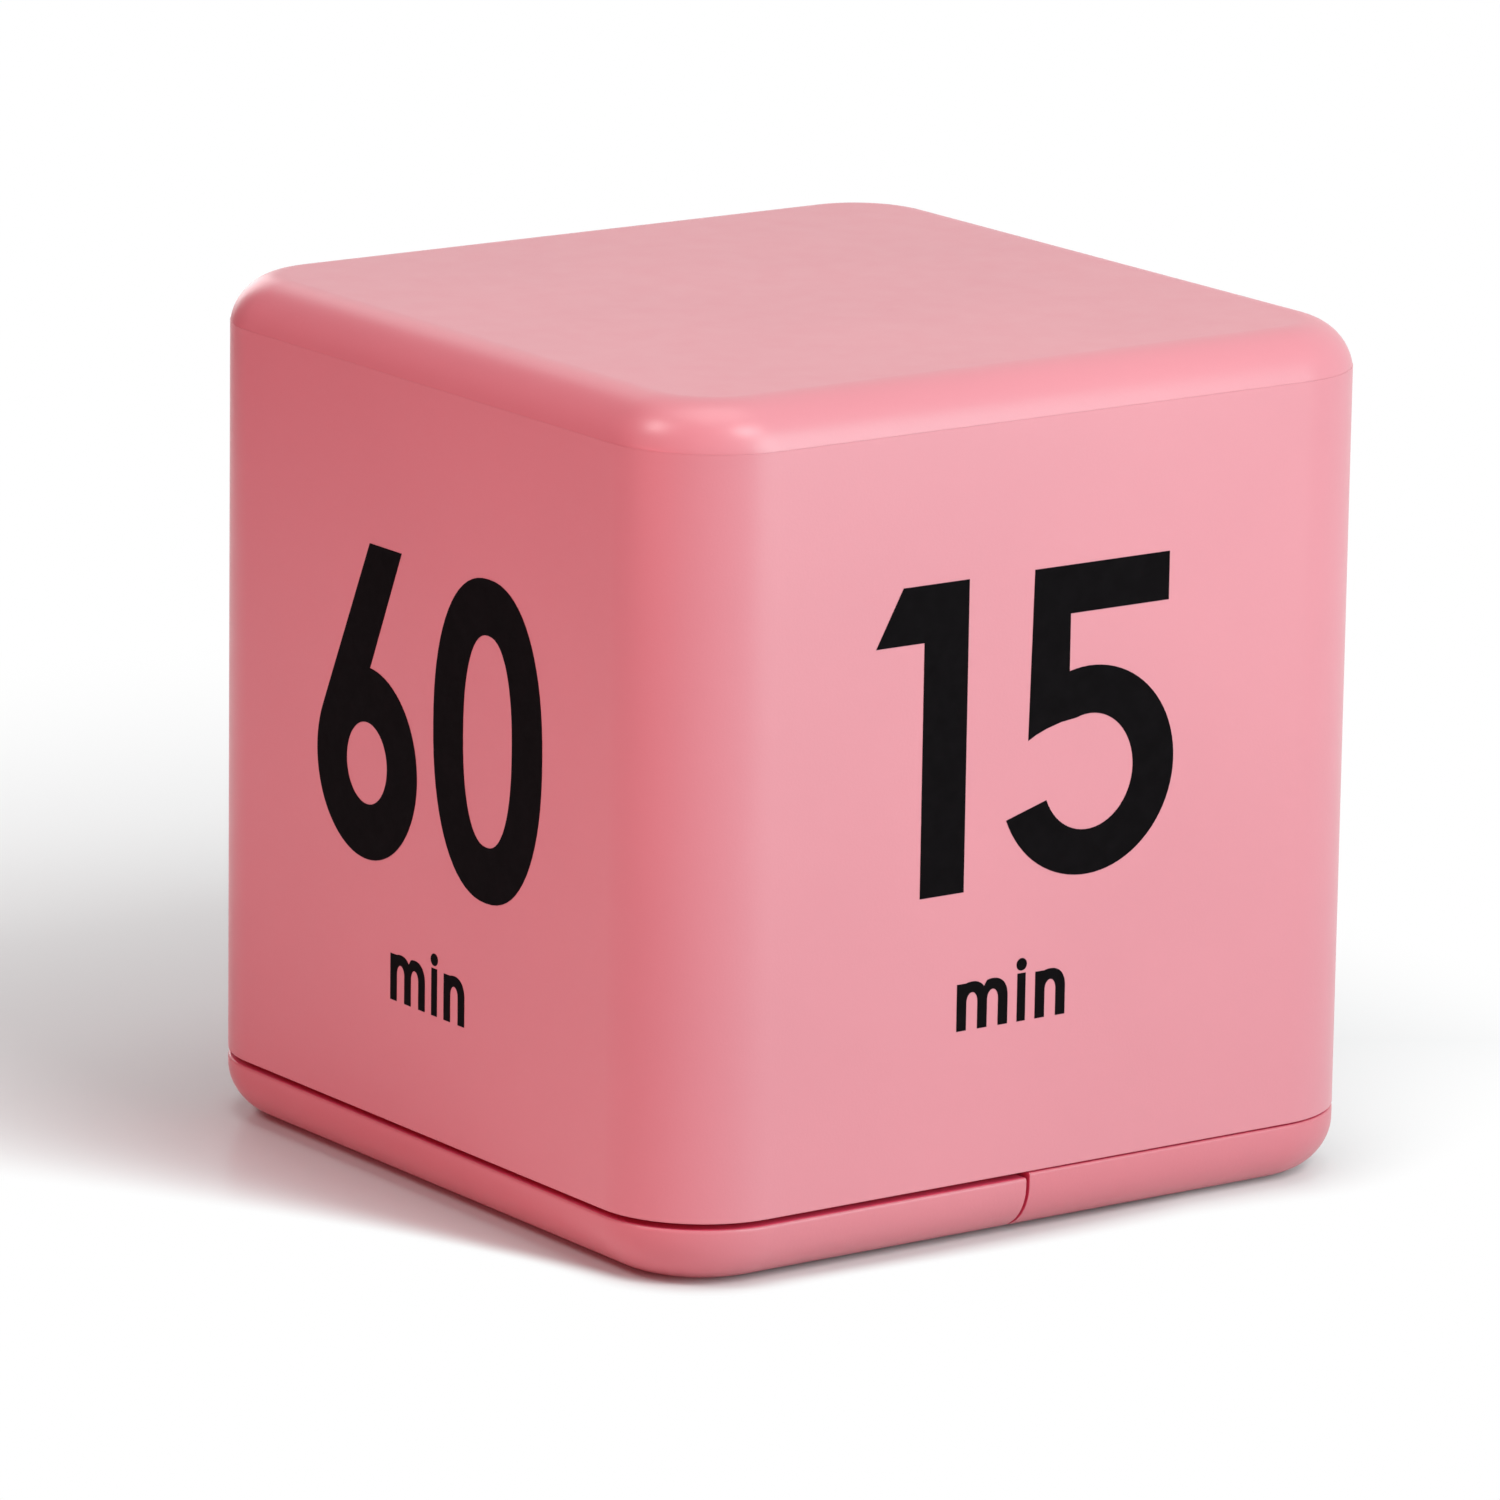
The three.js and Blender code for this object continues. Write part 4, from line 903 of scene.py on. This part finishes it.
def shell(name, mesh, body, finish, node, lowest, highest, upwards):
    """A shell whose seam has painted shade: a deeper colour on the faces that line it, those of the rim
    between two heights that look up or down, and both ends at the door's parting line. A face is on the
    rim if its distance to the rounded corner's middle, as a length of max(|x, y| - core, 0), is within
    the wall's thickness."""
    made = piece(name, mesh, body, [finish, PINK_SEAM_SHADE], [node])
    middles, directions = faces_of(made.data)
    beyond = np.maximum(np.abs(middles[:, :2]) + CORNER - HALF, 0)
    on_rim = np.hypot(beyond[:, 0], beyond[:, 1]) > CORNER - WALL - FIT
    level = (middles[:, 2] > lowest) & (middles[:, 2] < highest) & (directions[:, 2] * upwards > FACING)
    parting = (np.abs(middles[:, 0] - DOOR_EDGE) < 2 * PARTING) & (np.abs(directions[:, 0]) > FACING)
    second_finish(made, (level & on_rim) | (parting & (middles[:, 2] < highest)))


# Each shell's seam faces take the seam's deeper pink: painted shade between the parts
shell("walls", walls(), "cube", PINK, "body_shell", *about(WALLS_LOW, FIT), -1)
piece("top_shell", top_shell(), "cube", [PINK], ["top_cover"])
# The base and the door wear the darker copies of the pink: painted shade on the cube's lower parts
shell("base_shell", base_shell(), "cube", PINK_BASE_SHADED, "base_cover", *about(BASE_RIM, FIT), 1)
door_rim = (DOOR_HIGH - SOFT / 2, DOOR_HIGH + FIT)
shell("door_shell", door_shell(), "door", PINK_DOOR_SHADED, "battery_door", *door_rim, 1)


# The printed numbers and the word for minutes, each from its left foot, in millimetres across and up


def one():
    """The figure 1 from its flag's tip."""
    return [np.array([(0, 18.6), (2.3, 22.75), (8.05, 22.75), (8.05, 0), (4.2, 0), (4.2, 18.6)])]


def five():
    """The figure 5: a bar and a stem over an open bowl, whose inner side leaves the stem's foot almost
    in a straight line."""
    return [np.concatenate([
        [(2.0, 22.75), (14.0, 22.75), (14.0, 19.2), (5.25, 19.2)],
        arc((7.05, 7.55), (7.7, 7.65), 103.5, -158.5, 60),
        arc((7.1, 7.45), (4.0, 4.25), -157, 107, 44),
        [(4.6, 11.36), (3.3, 11.03), (2.4, 10.7), (1.7, 10.35)],
    ])]


def six():
    """The figure 6: a straight slanting stem that runs into a round bowl."""
    middle = (6.52, 7.0)
    outer = np.concatenate([[(6.75, 23.35), (10.9, 23.35)], arc(middle, (6.55, 7.15), 87, -207, 64)])
    return [outer, oval(middle, (2.65, 3.05), 48)]


def zero():
    """The figure 0: two upright ovals with slightly squared sides."""
    middle = (6.93, 11.75)
    return [oval(middle, (6.93, 11.85), 72, 2.25), oval(middle, (3.12, 7.75), 56, 2.3)]


def two():
    """The figure 2: a round head whose right side runs down to a flat foot."""
    middle = (6.4, 16.4)
    outer = arc(middle, (6.4, 7.15), 172, -32, 40)
    foot = [(5.6, 3.5), (12.8, 3.5), (12.8, 0), (0, 0), (0, 2.7)]
    return [np.concatenate([outer, foot, arc(middle, (2.75, 3.6), -30, 172, 32)])]


def three():
    """The figure 3: two open bowls that meet in a short bar."""
    upper, lower = (6.3, 17.2), (6.5, 6.95)
    return [np.concatenate([
        arc(upper, (6.0, 6.35), 168, -38, 40),
        arc(lower, (6.7, 6.95), 52, -166, 44),
        arc(lower, (3.1, 3.6), -166, 74, 36),
        [(4.6, 10.9), (4.6, 13.9)],
        arc(upper, (2.5, 3.0), -62, 168, 32),
    ])]


LETTER_HIGH = 3.53
LETTER_STROKE = 0.84
LETTER_PITCH = 1.83
LETTER_TOP = LETTER_HIGH - 0.08
SHOULDER = 1.5
ARCH = 0.78
SQUARENESS = 2.3


def arches(left, stems):
    """The letters n and m: stems joined by arches, each half an ellipse in a wider, squarer one."""
    shoulder = LETTER_HIGH - SHOULDER
    outer = (LETTER_PITCH + LETTER_STROKE) / 2
    inner = (LETTER_PITCH - LETTER_STROKE) / 2
    start = 180 - math.degrees(math.acos(((outer - LETTER_STROKE) / outer) ** (SQUARENESS / 2)))
    feet = [left + i * LETTER_PITCH for i in range(stems)]
    outline = [[(left, 0), (left, LETTER_TOP), (left + LETTER_STROKE, LETTER_TOP)]]
    for foot in feet[:-1]:
        end = 0 if foot == feet[-2] else 40
        outline.append(arc((foot + outer, shoulder), (outer, SHOULDER), start, end, 14, SQUARENESS))
    outline.append([(feet[-1] + LETTER_STROKE, 0), (feet[-1], 0)])
    for foot in reversed(feet[:-1]):
        outline.append(arc((foot + outer, shoulder), (inner, SHOULDER - ARCH), 0, 180, 12))
        outline.append([(foot + LETTER_STROKE, 0)] + ([(foot, 0)] if foot > left else []))
    return np.concatenate(outline)


def minutes():
    """The word for minutes."""
    stem = np.array([(5.35, 0), (5.35, LETTER_HIGH), (6.08, LETTER_HIGH), (6.08, 0)])
    return [arches(0, 3), stem, oval((5.71, LETTER_HIGH + 0.65), 0.46, 20), arches(6.95, 2)]


def print_on(name, marks, across, outwards):
    """A face's print as flat plates, an ink's thickness proud of the wall. Each mark is a list of
    outlines, with the place of its left foot across the face and above the base."""
    plates = [
        drawing([(outline + (left, foot)) * MM for outline in outlines], 2 * INK)
        for outlines, left, foot in marks
    ]
    flat = turned(together(plates), [across, (0, 0, 1), outwards], np.asarray(outwards) * (HALF - INK))
    piece(name, flat, "cube", [INK_BLACK])


FIFTEEN = [(one(), -14.75, 26.4), (five(), -2.93, 26.4), (minutes(), -7.1, 16.2)]
SIXTY = [(six(), -13.75, 24.0), (zero(), 1.4, 24.0), (minutes(), -3.95, 14.1)]
TWENTY = [(two(), -14.2, 25.2), (zero(), 1.1, 25.2), (minutes(), -4.6, 15.2)]
THIRTY = [(three(), -14.2, 25.2), (zero(), 1.1, 25.2), (minutes(), -4.6, 15.2)]
print_on("print_15", FIFTEEN, (1, 0, 0), (0, -1, 0))
print_on("print_60", SIXTY, (0, -1, 0), (-1, 0, 0))
print_on("print_20", TWENTY, (0, 1, 0), (1, 0, 0))
print_on("print_30", THIRTY, (-1, 0, 0), (0, 1, 0))


# What shows through and in the underside

FIGURE_PITCH = 4.6 * MM
FIGURE_REACH = 3.0 * MM
BAR_WIDTH = 0.62 * MM
BAR_GAP = 0.15 * MM
BAR_DEPTH = 0.02 * MM
DOT_RADIUS = 0.35 * MM
CAP_HIGH = 0.7 * MM
STEM_START = 0.4 * MM
CAP_CORNER = 0.5 * MM
CAP_ROUND = 0.18 * MM
KNOB_GROOVE = 0.3 * MM
KNOB_GROOVE_PITCH = 1.3 * MM
KNOB_GROOVE_LOW = 0.03 * MM
SOCKET = 0.8 * MM
SOCKET_DEPTH = 1.8 * MM


def bar_shape(middle, upright):
    """One bar of a figure: a thin six-cornered plate, pointed at both ends."""
    tip, side = (FIGURE_REACH - BAR_GAP) / 2, BAR_WIDTH / 2
    bend = tip - side
    points = np.array([(-tip, 0), (-bend, side), (bend, side), (tip, 0), (bend, -side), (-bend, -side)])
    return (points[:, ::-1] if upright else points) + middle


def display_bars():
    """The unlit bars of the display: four figures of seven bars and two dots, running along Y."""
    outlines = []
    for x in np.array([-1.62, -0.62, 0.62, 1.62]) * FIGURE_PITCH:
        outlines += [bar_shape((x, level * FIGURE_REACH), False) for level in (-1, 0, 1)]
        outlines += [
            bar_shape((x + side * FIGURE_REACH, level * FIGURE_REACH), True)
            for level in (-0.5, 0.5) for side in (-0.5, 0.5)
        ]
    outlines += [oval((0, level * FIGURE_REACH), DOT_RADIUS, 16) for level in (-0.4, 0.4)]
    x, y, _ = middle_of("lcd_front_glass")
    under = (x, y, low("lcd_front_glass")[2] - BAR_DEPTH)
    return turned(drawing(outlines, BAR_DEPTH), [(0, 1, 0), (1, 0, 0), (0, 0, -1)], under)


def knob():
    """The switch's knob: a cap with three grooves across it, on a stem with a socket for the lever."""
    x, y, _ = KNOB_MIDDLE
    bottom, top = KNOB_LOW[2], KNOB_HIGH[2]
    half = half_of("switch_knob")
    cap = prism(KNOB_MIDDLE, half, CAP_CORNER, bottom, bottom + CAP_HIGH, CAP_ROUND)
    stem = prism(KNOB_MIDDLE, (STEM, STEM), STEM_CORNER, bottom + STEM_START, top)
    grooves = [
        turned(rod((0, 0), KNOB_GROOVE, *about(0, half[0] + OVERRUN)), [(0, 1, 0), (0, 0, 1), (1, 0, 0)],
               (x, y + i * KNOB_GROOVE_PITCH, bottom - KNOB_GROOVE_LOW))
        for i in (-1, 0, 1)
    ]
    socket = slab(about(x, SOCKET), about(y, SOCKET), (top - SOCKET_DEPTH, top + OVERRUN), SHARP)
    return cut(joined(cap, [stem]), [*grooves, socket])


pane_heights = (low("display_window")[2], high("display_window")[2])
pane = prism(WINDOW_MIDDLE, WINDOW_HALF, WINDOW_CORNER, *pane_heights)
piece("window_pane", pane, "cube", [CLEAR], ["display_window"])
piece("display_bars", display_bars(), "cube", [SEGMENT])
piece("knob", knob(), "power_switch", [BLACK_PLASTIC], ["switch_knob"])


# Screws, cells and contacts

# A screw's shares: of its head's height, the dome and the recess; of the head's radius, the cross's arms;
# of the shank's radius, the thread's middle, ripple, pitch and point
DOME = 0.55
CROSS_DEPTH = 0.6
CROSS = (0.58, 0.15)
THREAD = 0.9
THREAD_RIPPLE = 0.09
THREAD_PITCH = 0.8
POINT = 0.25

# The cells' rims and nubs, and the contacts' plates and springs
ROLLED = 0.5 * MM
NUB = 1.9 * MM
NUB_ROUND = 0.3 * MM
PLATE = 0.4 * MM
PLATE_EDGE = 0.12 * MM
COIL_TURNS = 3.5
COIL_WIDE = 3.4 * MM
COIL_NARROWING = 1.2 * MM
COIL_HIGH = 4.3 * MM
COIL_WIRE = 0.3 * MM


def screw(node, radius, head_height, points_up):
    """A pan-head screw in a node's place: a domed head with a cross recess, and a shank whose thread is a
    ripple of its radius: middle + ripple * cos(2 pi * height / pitch)."""
    bottom, top = low(node), high(node)
    middle = middle_of(node)
    head = half_of(node)[0]
    length = top[2] - bottom[2]
    dome = arc((0, DOME * head_height), (head, DOME * head_height), -88, 0, 10)
    turns = np.linspace(head_height, length - radius, 60)
    ripple = THREAD_RIPPLE * radius * np.cos(2 * math.pi * (turns - head_height) / (THREAD_PITCH * radius))
    thread = np.stack([THREAD * radius + ripple, turns], 1)
    body = lathe(np.vstack([dome, [[head, head_height]], thread, [[POINT * radius, length]]]), 40)
    arm, width = about(0, CROSS[0] * head), about(0, CROSS[1] * head)
    deep = (-OVERRUN, CROSS_DEPTH * head_height)
    cross = [slab(arm, width, deep, LEAST_RADIUS), slab(width, arm, deep, LEAST_RADIUS)]
    whole = cut(body, cross)
    if points_up:
        return moved(whole, (middle[0], middle[1], bottom[2]))
    return turned(whole, [(1, 0, 0), (0, -1, 0), (0, 0, -1)], (middle[0], middle[1], top[2]))


def cell(node, nub_way):
    """A cell in its sleeve: a can turned from a profile of (radius, height), with a rolled rim at each
    end and a nub, lying along Y with the nub towards nub_way."""
    bottom, top = low(node), high(node)
    middle = middle_of(node)
    length = top[1] - bottom[1]
    rim = CELL_RADIUS - ROLLED
    profile = np.vstack([
        [(0.3 * MM, 0.25 * MM), (CELL_RADIUS - 1.3 * MM, 0.25 * MM), (CELL_RADIUS - 1.1 * MM, 0.0)],
        arc((rim, ROLLED), ROLLED, -90, 0, 6),
        arc((rim, length - MM - ROLLED), ROLLED, 0, 90, 6),
        [(CELL_RADIUS - 1.1 * MM, length - MM), (CELL_RADIUS - 1.4 * MM, length - 1.25 * MM)],
        [(NUB + SOFT, length - 1.25 * MM)],
        arc((NUB - NUB_ROUND, length - NUB_ROUND), NUB_ROUND, 0, 90, 4),
    ])
    start = bottom[1] if nub_way > 0 else top[1]
    axes = [(1, 0, 0), (0, 0, 1), (0, nub_way, 0)]
    return worked(turned(lathe(profile, 72), axes, (middle[0], start, middle[2])), face_outwards)


def dress_cell(name, node, nub_way):
    """Puts a sleeve on the can's side and leaves bare metal on its two ends."""
    film = sleeve(f"{name}_film", nub_way)
    made = piece(name, cell(node, nub_way), "cube", [film, STEEL], [node])
    across = faces_of(made.data)[0] - middle_of(node)
    second_finish(made, np.hypot(across[:, 0], across[:, 2]) < CELL_RADIUS - 0.9 * MM)


def contact(name, node, coil_at, dimple_at, tabs, side):
    """A stamped contact in its node's place: a plate with rounded edges, a cone of spring wire whose
    radius closes in steadily as it rises, a domed dimple for a cell's nub, and a solder tab."""
    bottom, top = low(node), high(node)
    plate_top = high("bridge_contact")[2]
    outer = side * (TRAY_INNER - FIT)
    inner = outer - side * PLATE
    parts = [slab((bottom[0], top[0]), (outer, inner), (bottom[2], plate_top), PLATE_EDGE)]
    for x in tabs:
        tab = slab(about(x, TAB_WIDTH / 2), (outer, inner), (plate_top - WELD, top[2]), PLATE_EDGE)
        parts.append(tab)
    for x in coil_at:
        share = np.linspace(0, 1, 141)
        a = 2 * math.pi * COIL_TURNS * share
        radius = COIL_WIDE - COIL_NARROWING * share
        along = inner - side * COIL_HIGH * share
        path = np.stack([x + radius * np.cos(a), along, CELL_AXIS + radius * np.sin(a)], 1)
        parts.append(tube(path, COIL_WIRE))
    for x in dimple_at:
        bulge = arc((0.9 * MM, 0), (1.3 * MM, MM), 0, 90, 8)
        profile = [(2.2 * MM, 0), *bulge, (0.1 * MM, MM)]
        axes = [(1, 0, 0), (0, 0, 1), (0, -side, 0)]
        parts.append(turned(lathe(profile, 40), axes, (x, inner, CELL_AXIS)))
    piece(name, worked(together(parts), face_outwards), "cube", [NICKEL], [node])


SCREWS = [("case", number, (SHANK, SCREW_HEAD, True)) for number in (1, 2)]
SCREWS += [("board", number, (BOARD_SHANK, BOARD_HEAD, False)) for number in (1, 2, 3)]
for kind, number, sizes in SCREWS:
    node = f"{kind}_screw_{number}"
    piece(f"{kind}_screw_fine_{number}", screw(node, *sizes), "cube", [STEEL], [node])

dress_cell("cell_near", "battery_1", 1)
dress_cell("cell_far", "battery_2", -1)
contact("contact_minus", "negative_contact", [NEAR_CELL[0]], [], [NEAR_CELL[0]], -1)
contact("contact_plus", "positive_contact", [], [FAR_CELL[0]], [FAR_CELL[0]], -1)
contact("contact_bridge", "bridge_contact", [FAR_CELL[0]], [NEAR_CELL[0]], [], 1)


# Finishes of the pieces that keep the solid model's own shape

KEPT = {
    "lcd_front_glass": FRONT_GLASS,
    "lcd_rear_glass": REAR_GLASS,
    "lcd_holder": HOLDER,
    "contact_strip": RUBBER,
    "switch_lever": BLACK_PLASTIC,
    "switch_housing": NICKEL,
    "circuit_board": BOARD,
    "chip_cover": RESIN,
    "crystal_can": NICKEL,
    "capacitor": CAN_SLEEVE,
    "buzzer_coil": FERRITE,
    "piezo_disc": BRASS,
    "piezo_ceramic": CERAMIC,
    "piezo_wire_red": RED_WIRE,
    "piezo_wire_black": BLACK_WIRE,
    "battery_lead_red": RED_WIRE,
    "battery_lead_black": BLACK_WIRE,
}
for number in (1, 2, 3, 4):
    KEPT[f"tilt_can_{number}"] = NICKEL
    KEPT[f"tilt_base_{number}"] = RESIN
    KEPT[f"tilt_ball_{number}"] = STEEL
for node, finish in KEPT.items():
    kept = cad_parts[node].data
    kept.materials.clear()
    kept.materials.append(finish)


# The studio

# The camera's place is right, up and back from the cube's middle. The shadow's stretches run along and
# across the line of sight, and its lengths are the floor's from the cube's foot to where it turns white.
CAMERA_AZIMUTH = -35.54
CAMERA_ELEVATION = 13.574
CAMERA_ROLL = 0.861
CAMERA_LENS = 247.03
CAMERA_PLACE = np.array([-2.329, -2.278, 757.355]) * MM
FLOOR_REACH = 6.0
FLOOR_GAP = 0.02 * MM
FLOOR_TONE = (0.76, 0.76, 0.76)
SHADOW_DEPTH = (-0.038, 0.030)
SHADOW_SIDES = (-0.020, 0.030)
SHADOW_CLOSE = 0.002
SHADOW_EDGE = 0.0007
SHADOW_FOOT = 0.036
SHADOW_BLUR = 0.006
SHADOW_LEFT = 0.131
SHADOW_RIGHT = 0.045
FLAG_AZIMUTH = -144.5
FLAG_AWAY = 0.25
FLAG_HALF = 0.19
FLAG_TONE = (0.01, 0.01, 0.01)


def ray(finish, what):
    """What the light path says of the ray that meets a point."""
    return finish.node("ShaderNodeLightPath", output=what)


def seen(finish):
    """1 for what the camera sees itself, in a reflection or through glass, and 0 for what only lights."""
    reflected = ray(finish, "Is Glossy Ray").most(ray(finish, "Is Transmission Ray"))
    return ray(finish, "Is Camera Ray").most(reflected)


def direction(azimuth, elevation):
    """The way to a place at an azimuth from -Y towards +X and an elevation above the floor."""
    a, e = math.radians(azimuth), math.radians(elevation)
    return np.array([math.sin(a) * math.cos(e), -math.cos(a) * math.cos(e), math.sin(e)])


def axes_towards(back, roll=0.0):
    """Right and up for something that looks against back, rolled by an angle in degrees."""
    right = unit(np.cross((0, 0, 1), back))
    up = np.cross(back, right)
    r = math.radians(roll)
    return math.cos(r) * right + math.sin(r) * up, math.cos(r) * up - math.sin(r) * right


def placed_at(thing, place, right, up, back):
    """Puts a camera or a lamp at a place with its own axes."""
    for row in range(3):
        for column, axis in enumerate((right, up, back, place)):
            thing.matrix_world[row][column] = axis[row]


def stage_card(name, mesh, material):
    """A card of the studio, which is no part of the timer."""
    mesh.materials.append(material)
    made = in_scene(name, mesh)
    return made


def floor_finish():
    """The floor keeps the cube's shadow, and past that it is plain white where it is seen, as a lit
    backdrop is. The shadow reaches furthest behind the cube on the left. The distance to the cube's foot
    is that of a square with round corners: the length of max(|x, y| - core, 0), less the corner. From
    below the floor is clear. The light of the lamp beneath passes it under the flat that the cube stands
    on, and right under anything else that lies on it."""
    finish = Finish("studio_floor")
    core = (HALF - CORNER, HALF - CORNER, 1)
    sides = finish.vector("ABSOLUTE", finish.place())
    outside = finish.vector("MAXIMUM", finish.vector("SUBTRACT", sides, core))
    away = finish.vector("LENGTH", outside) - CORNER
    depth = finish.vector("DOT_PRODUCT", finish.place(), tuple(-direction(CAMERA_AZIMUTH, 0)))
    aside = finish.vector("DOT_PRODUCT", finish.place(), tuple(direction(CAMERA_AZIMUTH + 90, 0)))
    back = finish.spread(depth, *SHADOW_DEPTH)
    left = finish.spread(aside, *SHADOW_SIDES, 1.0, 0.0)
    start = left * back * (1 - back) * SHADOW_FOOT - back * SHADOW_BLUR - SHADOW_CLOSE
    far_left = left * (back ** 1.7 * SHADOW_LEFT + 2 * SHADOW_EDGE)
    end = far_left + (1 - left) * back ** 2.4 * SHADOW_RIGHT + SHADOW_EDGE
    lit = finish.spread(away, start, end, how="SMOOTHSTEP")
    matt = {"Base Color": FLOOR_TONE, "Roughness": 0.25, "Specular IOR Level": 0.04}
    paper = finish.node("ShaderNodeBsdfPrincipled", {}, matt)
    white = finish.node("ShaderNodeEmission", {}, {"Color": WHITE, "Strength": 1.0})
    above = finish.node("ShaderNodeMixShader", {}, {0: seen(finish) * lit, 1: paper, 2: white})
    foot = 1 - away.above(SOFT - EDGE)
    close = 1 - ray(finish, "Ray Length").above(3 * FLOOR_GAP)
    passing = ray(finish, "Is Shadow Ray") * foot.most(close)
    from_below = finish.node("ShaderNodeNewGeometry", output="Backfacing")
    clear = finish.node("ShaderNodeBsdfTransparent")
    both = finish.node("ShaderNodeMixShader", {}, {0: from_below.most(passing), 1: above, 2: clear})
    return finish.done(both)


def studio_floor():
    """A pale floor, a hair under the cube: one great round face that looks up."""
    ring = raised(plan_ring((FLOOR_REACH, FLOOR_REACH), FLOOR_REACH, 0), -FLOOR_GAP)
    mesh = mesh_of(ring, [list(range(len(ring)))])
    if mesh.polygons[0].normal.z < 0:
        mesh.flip_normals()
    stage_card("studio_floor", mesh, floor_finish())


def studio_flag():
    """A black card behind the cube on the left, outside the picture, which keeps white out of the shine
    of the face with the 60. It hangs a little above the floor."""
    finish = Finish("studio_flag")
    black = finish.done(finish.node("ShaderNodeBsdfDiffuse", {}, {"Color": FLAG_TONE}))
    back = direction(FLAG_AZIMUTH, 0)
    right, up = axes_towards(back)
    signs = ((-1, 0.01), (1, 0.01), (1, 2.01), (-1, 2.01))
    corners = [FLAG_AWAY * back + FLAG_HALF * (x * right + z * up) for x, z in signs]
    stage_card("studio_flag", mesh_of(corners, [[0, 1, 2, 3]]), black).visible_camera = False


def studio_world(strength):
    """Plain white all round: full white where it is seen, dimmer as light."""
    world = Finish("studio", bpy.data.worlds)
    light = world.node("ShaderNodeBackground", {}, {"Color": WHITE, "Strength": strength})
    white = world.node("ShaderNodeBackground", {}, {"Color": WHITE, "Strength": 1.0})
    either = world.node("ShaderNodeMixShader", {}, {0: seen(world), 1: light, 2: white})
    bpy.context.scene.world = world.done(either, "World")


def softbox(name, azimuth, reach, height, aim, size, radiance, colour=WHITE):
    """A lamp with a soft rectangular front of even brightness, reach away from the cube's middle line and
    aimed at a height on it: its power is the brightness times pi and the front's area."""
    lamp = bpy.data.lights.new(name, "AREA")
    lamp.shape = "RECTANGLE"
    lamp.size, lamp.size_y = size
    lamp.color = colour
    lamp.energy = radiance * math.pi * size[0] * size[1]
    made = in_scene(name, lamp)
    place = reach * direction(azimuth, 0) + np.array([0, 0, height])
    back = unit(place - np.array([0, 0, aim]))
    placed_at(made, place, *axes_towards(back), back)
    made.visible_camera = False


def studio_camera():
    """The camera, where the photograph was taken from: about 76 cm away, a little above the cube."""
    lens = bpy.data.cameras.new("camera")
    lens.sensor_width = 36
    lens.lens = CAMERA_LENS
    lens.clip_start = 0.05
    lens.clip_end = 50
    made = in_scene("camera", lens)
    back = direction(CAMERA_AZIMUTH, CAMERA_ELEVATION)
    axes = (*axes_towards(back, CAMERA_ROLL), back)
    placed_at(made, np.array([0, 0, HALF]) + CAMERA_PLACE @ np.array(axes), *axes)
    bpy.context.scene.camera = made


studio_floor()
studio_flag()
studio_world(0.18)
softbox("front_box", 21, 0.32, 0.14, 0.135, (0.17, 0.26), 6.1, (0.68, 1.0, 1.0))
softbox("right_box", 9, 0.45, 0.55, HALF, (0.17, 0.17), 16.2)
softbox("left_box", -106, 0.47, 0.53, HALF, (0.17, 0.17), 16.0)
softbox("left_bounce", -85, 0.42, 0.055, 0.03, (0.3, 0.1), 5.4, (1.0, 0.13, 0.17))
softbox("top_box", 0, 0.001, 0.8, HALF, (0.5, 0.5), 2.5)
softbox("back_box", 172, 0.5, 0.14, HALF, (0.25, 0.2), 2.6)
softbox("under_box", 0, 0.001, -0.4, 0, (0.3, 0.3), 3.4)
studio_camera()
bpy.context.scene.view_settings.view_transform = "Standard"
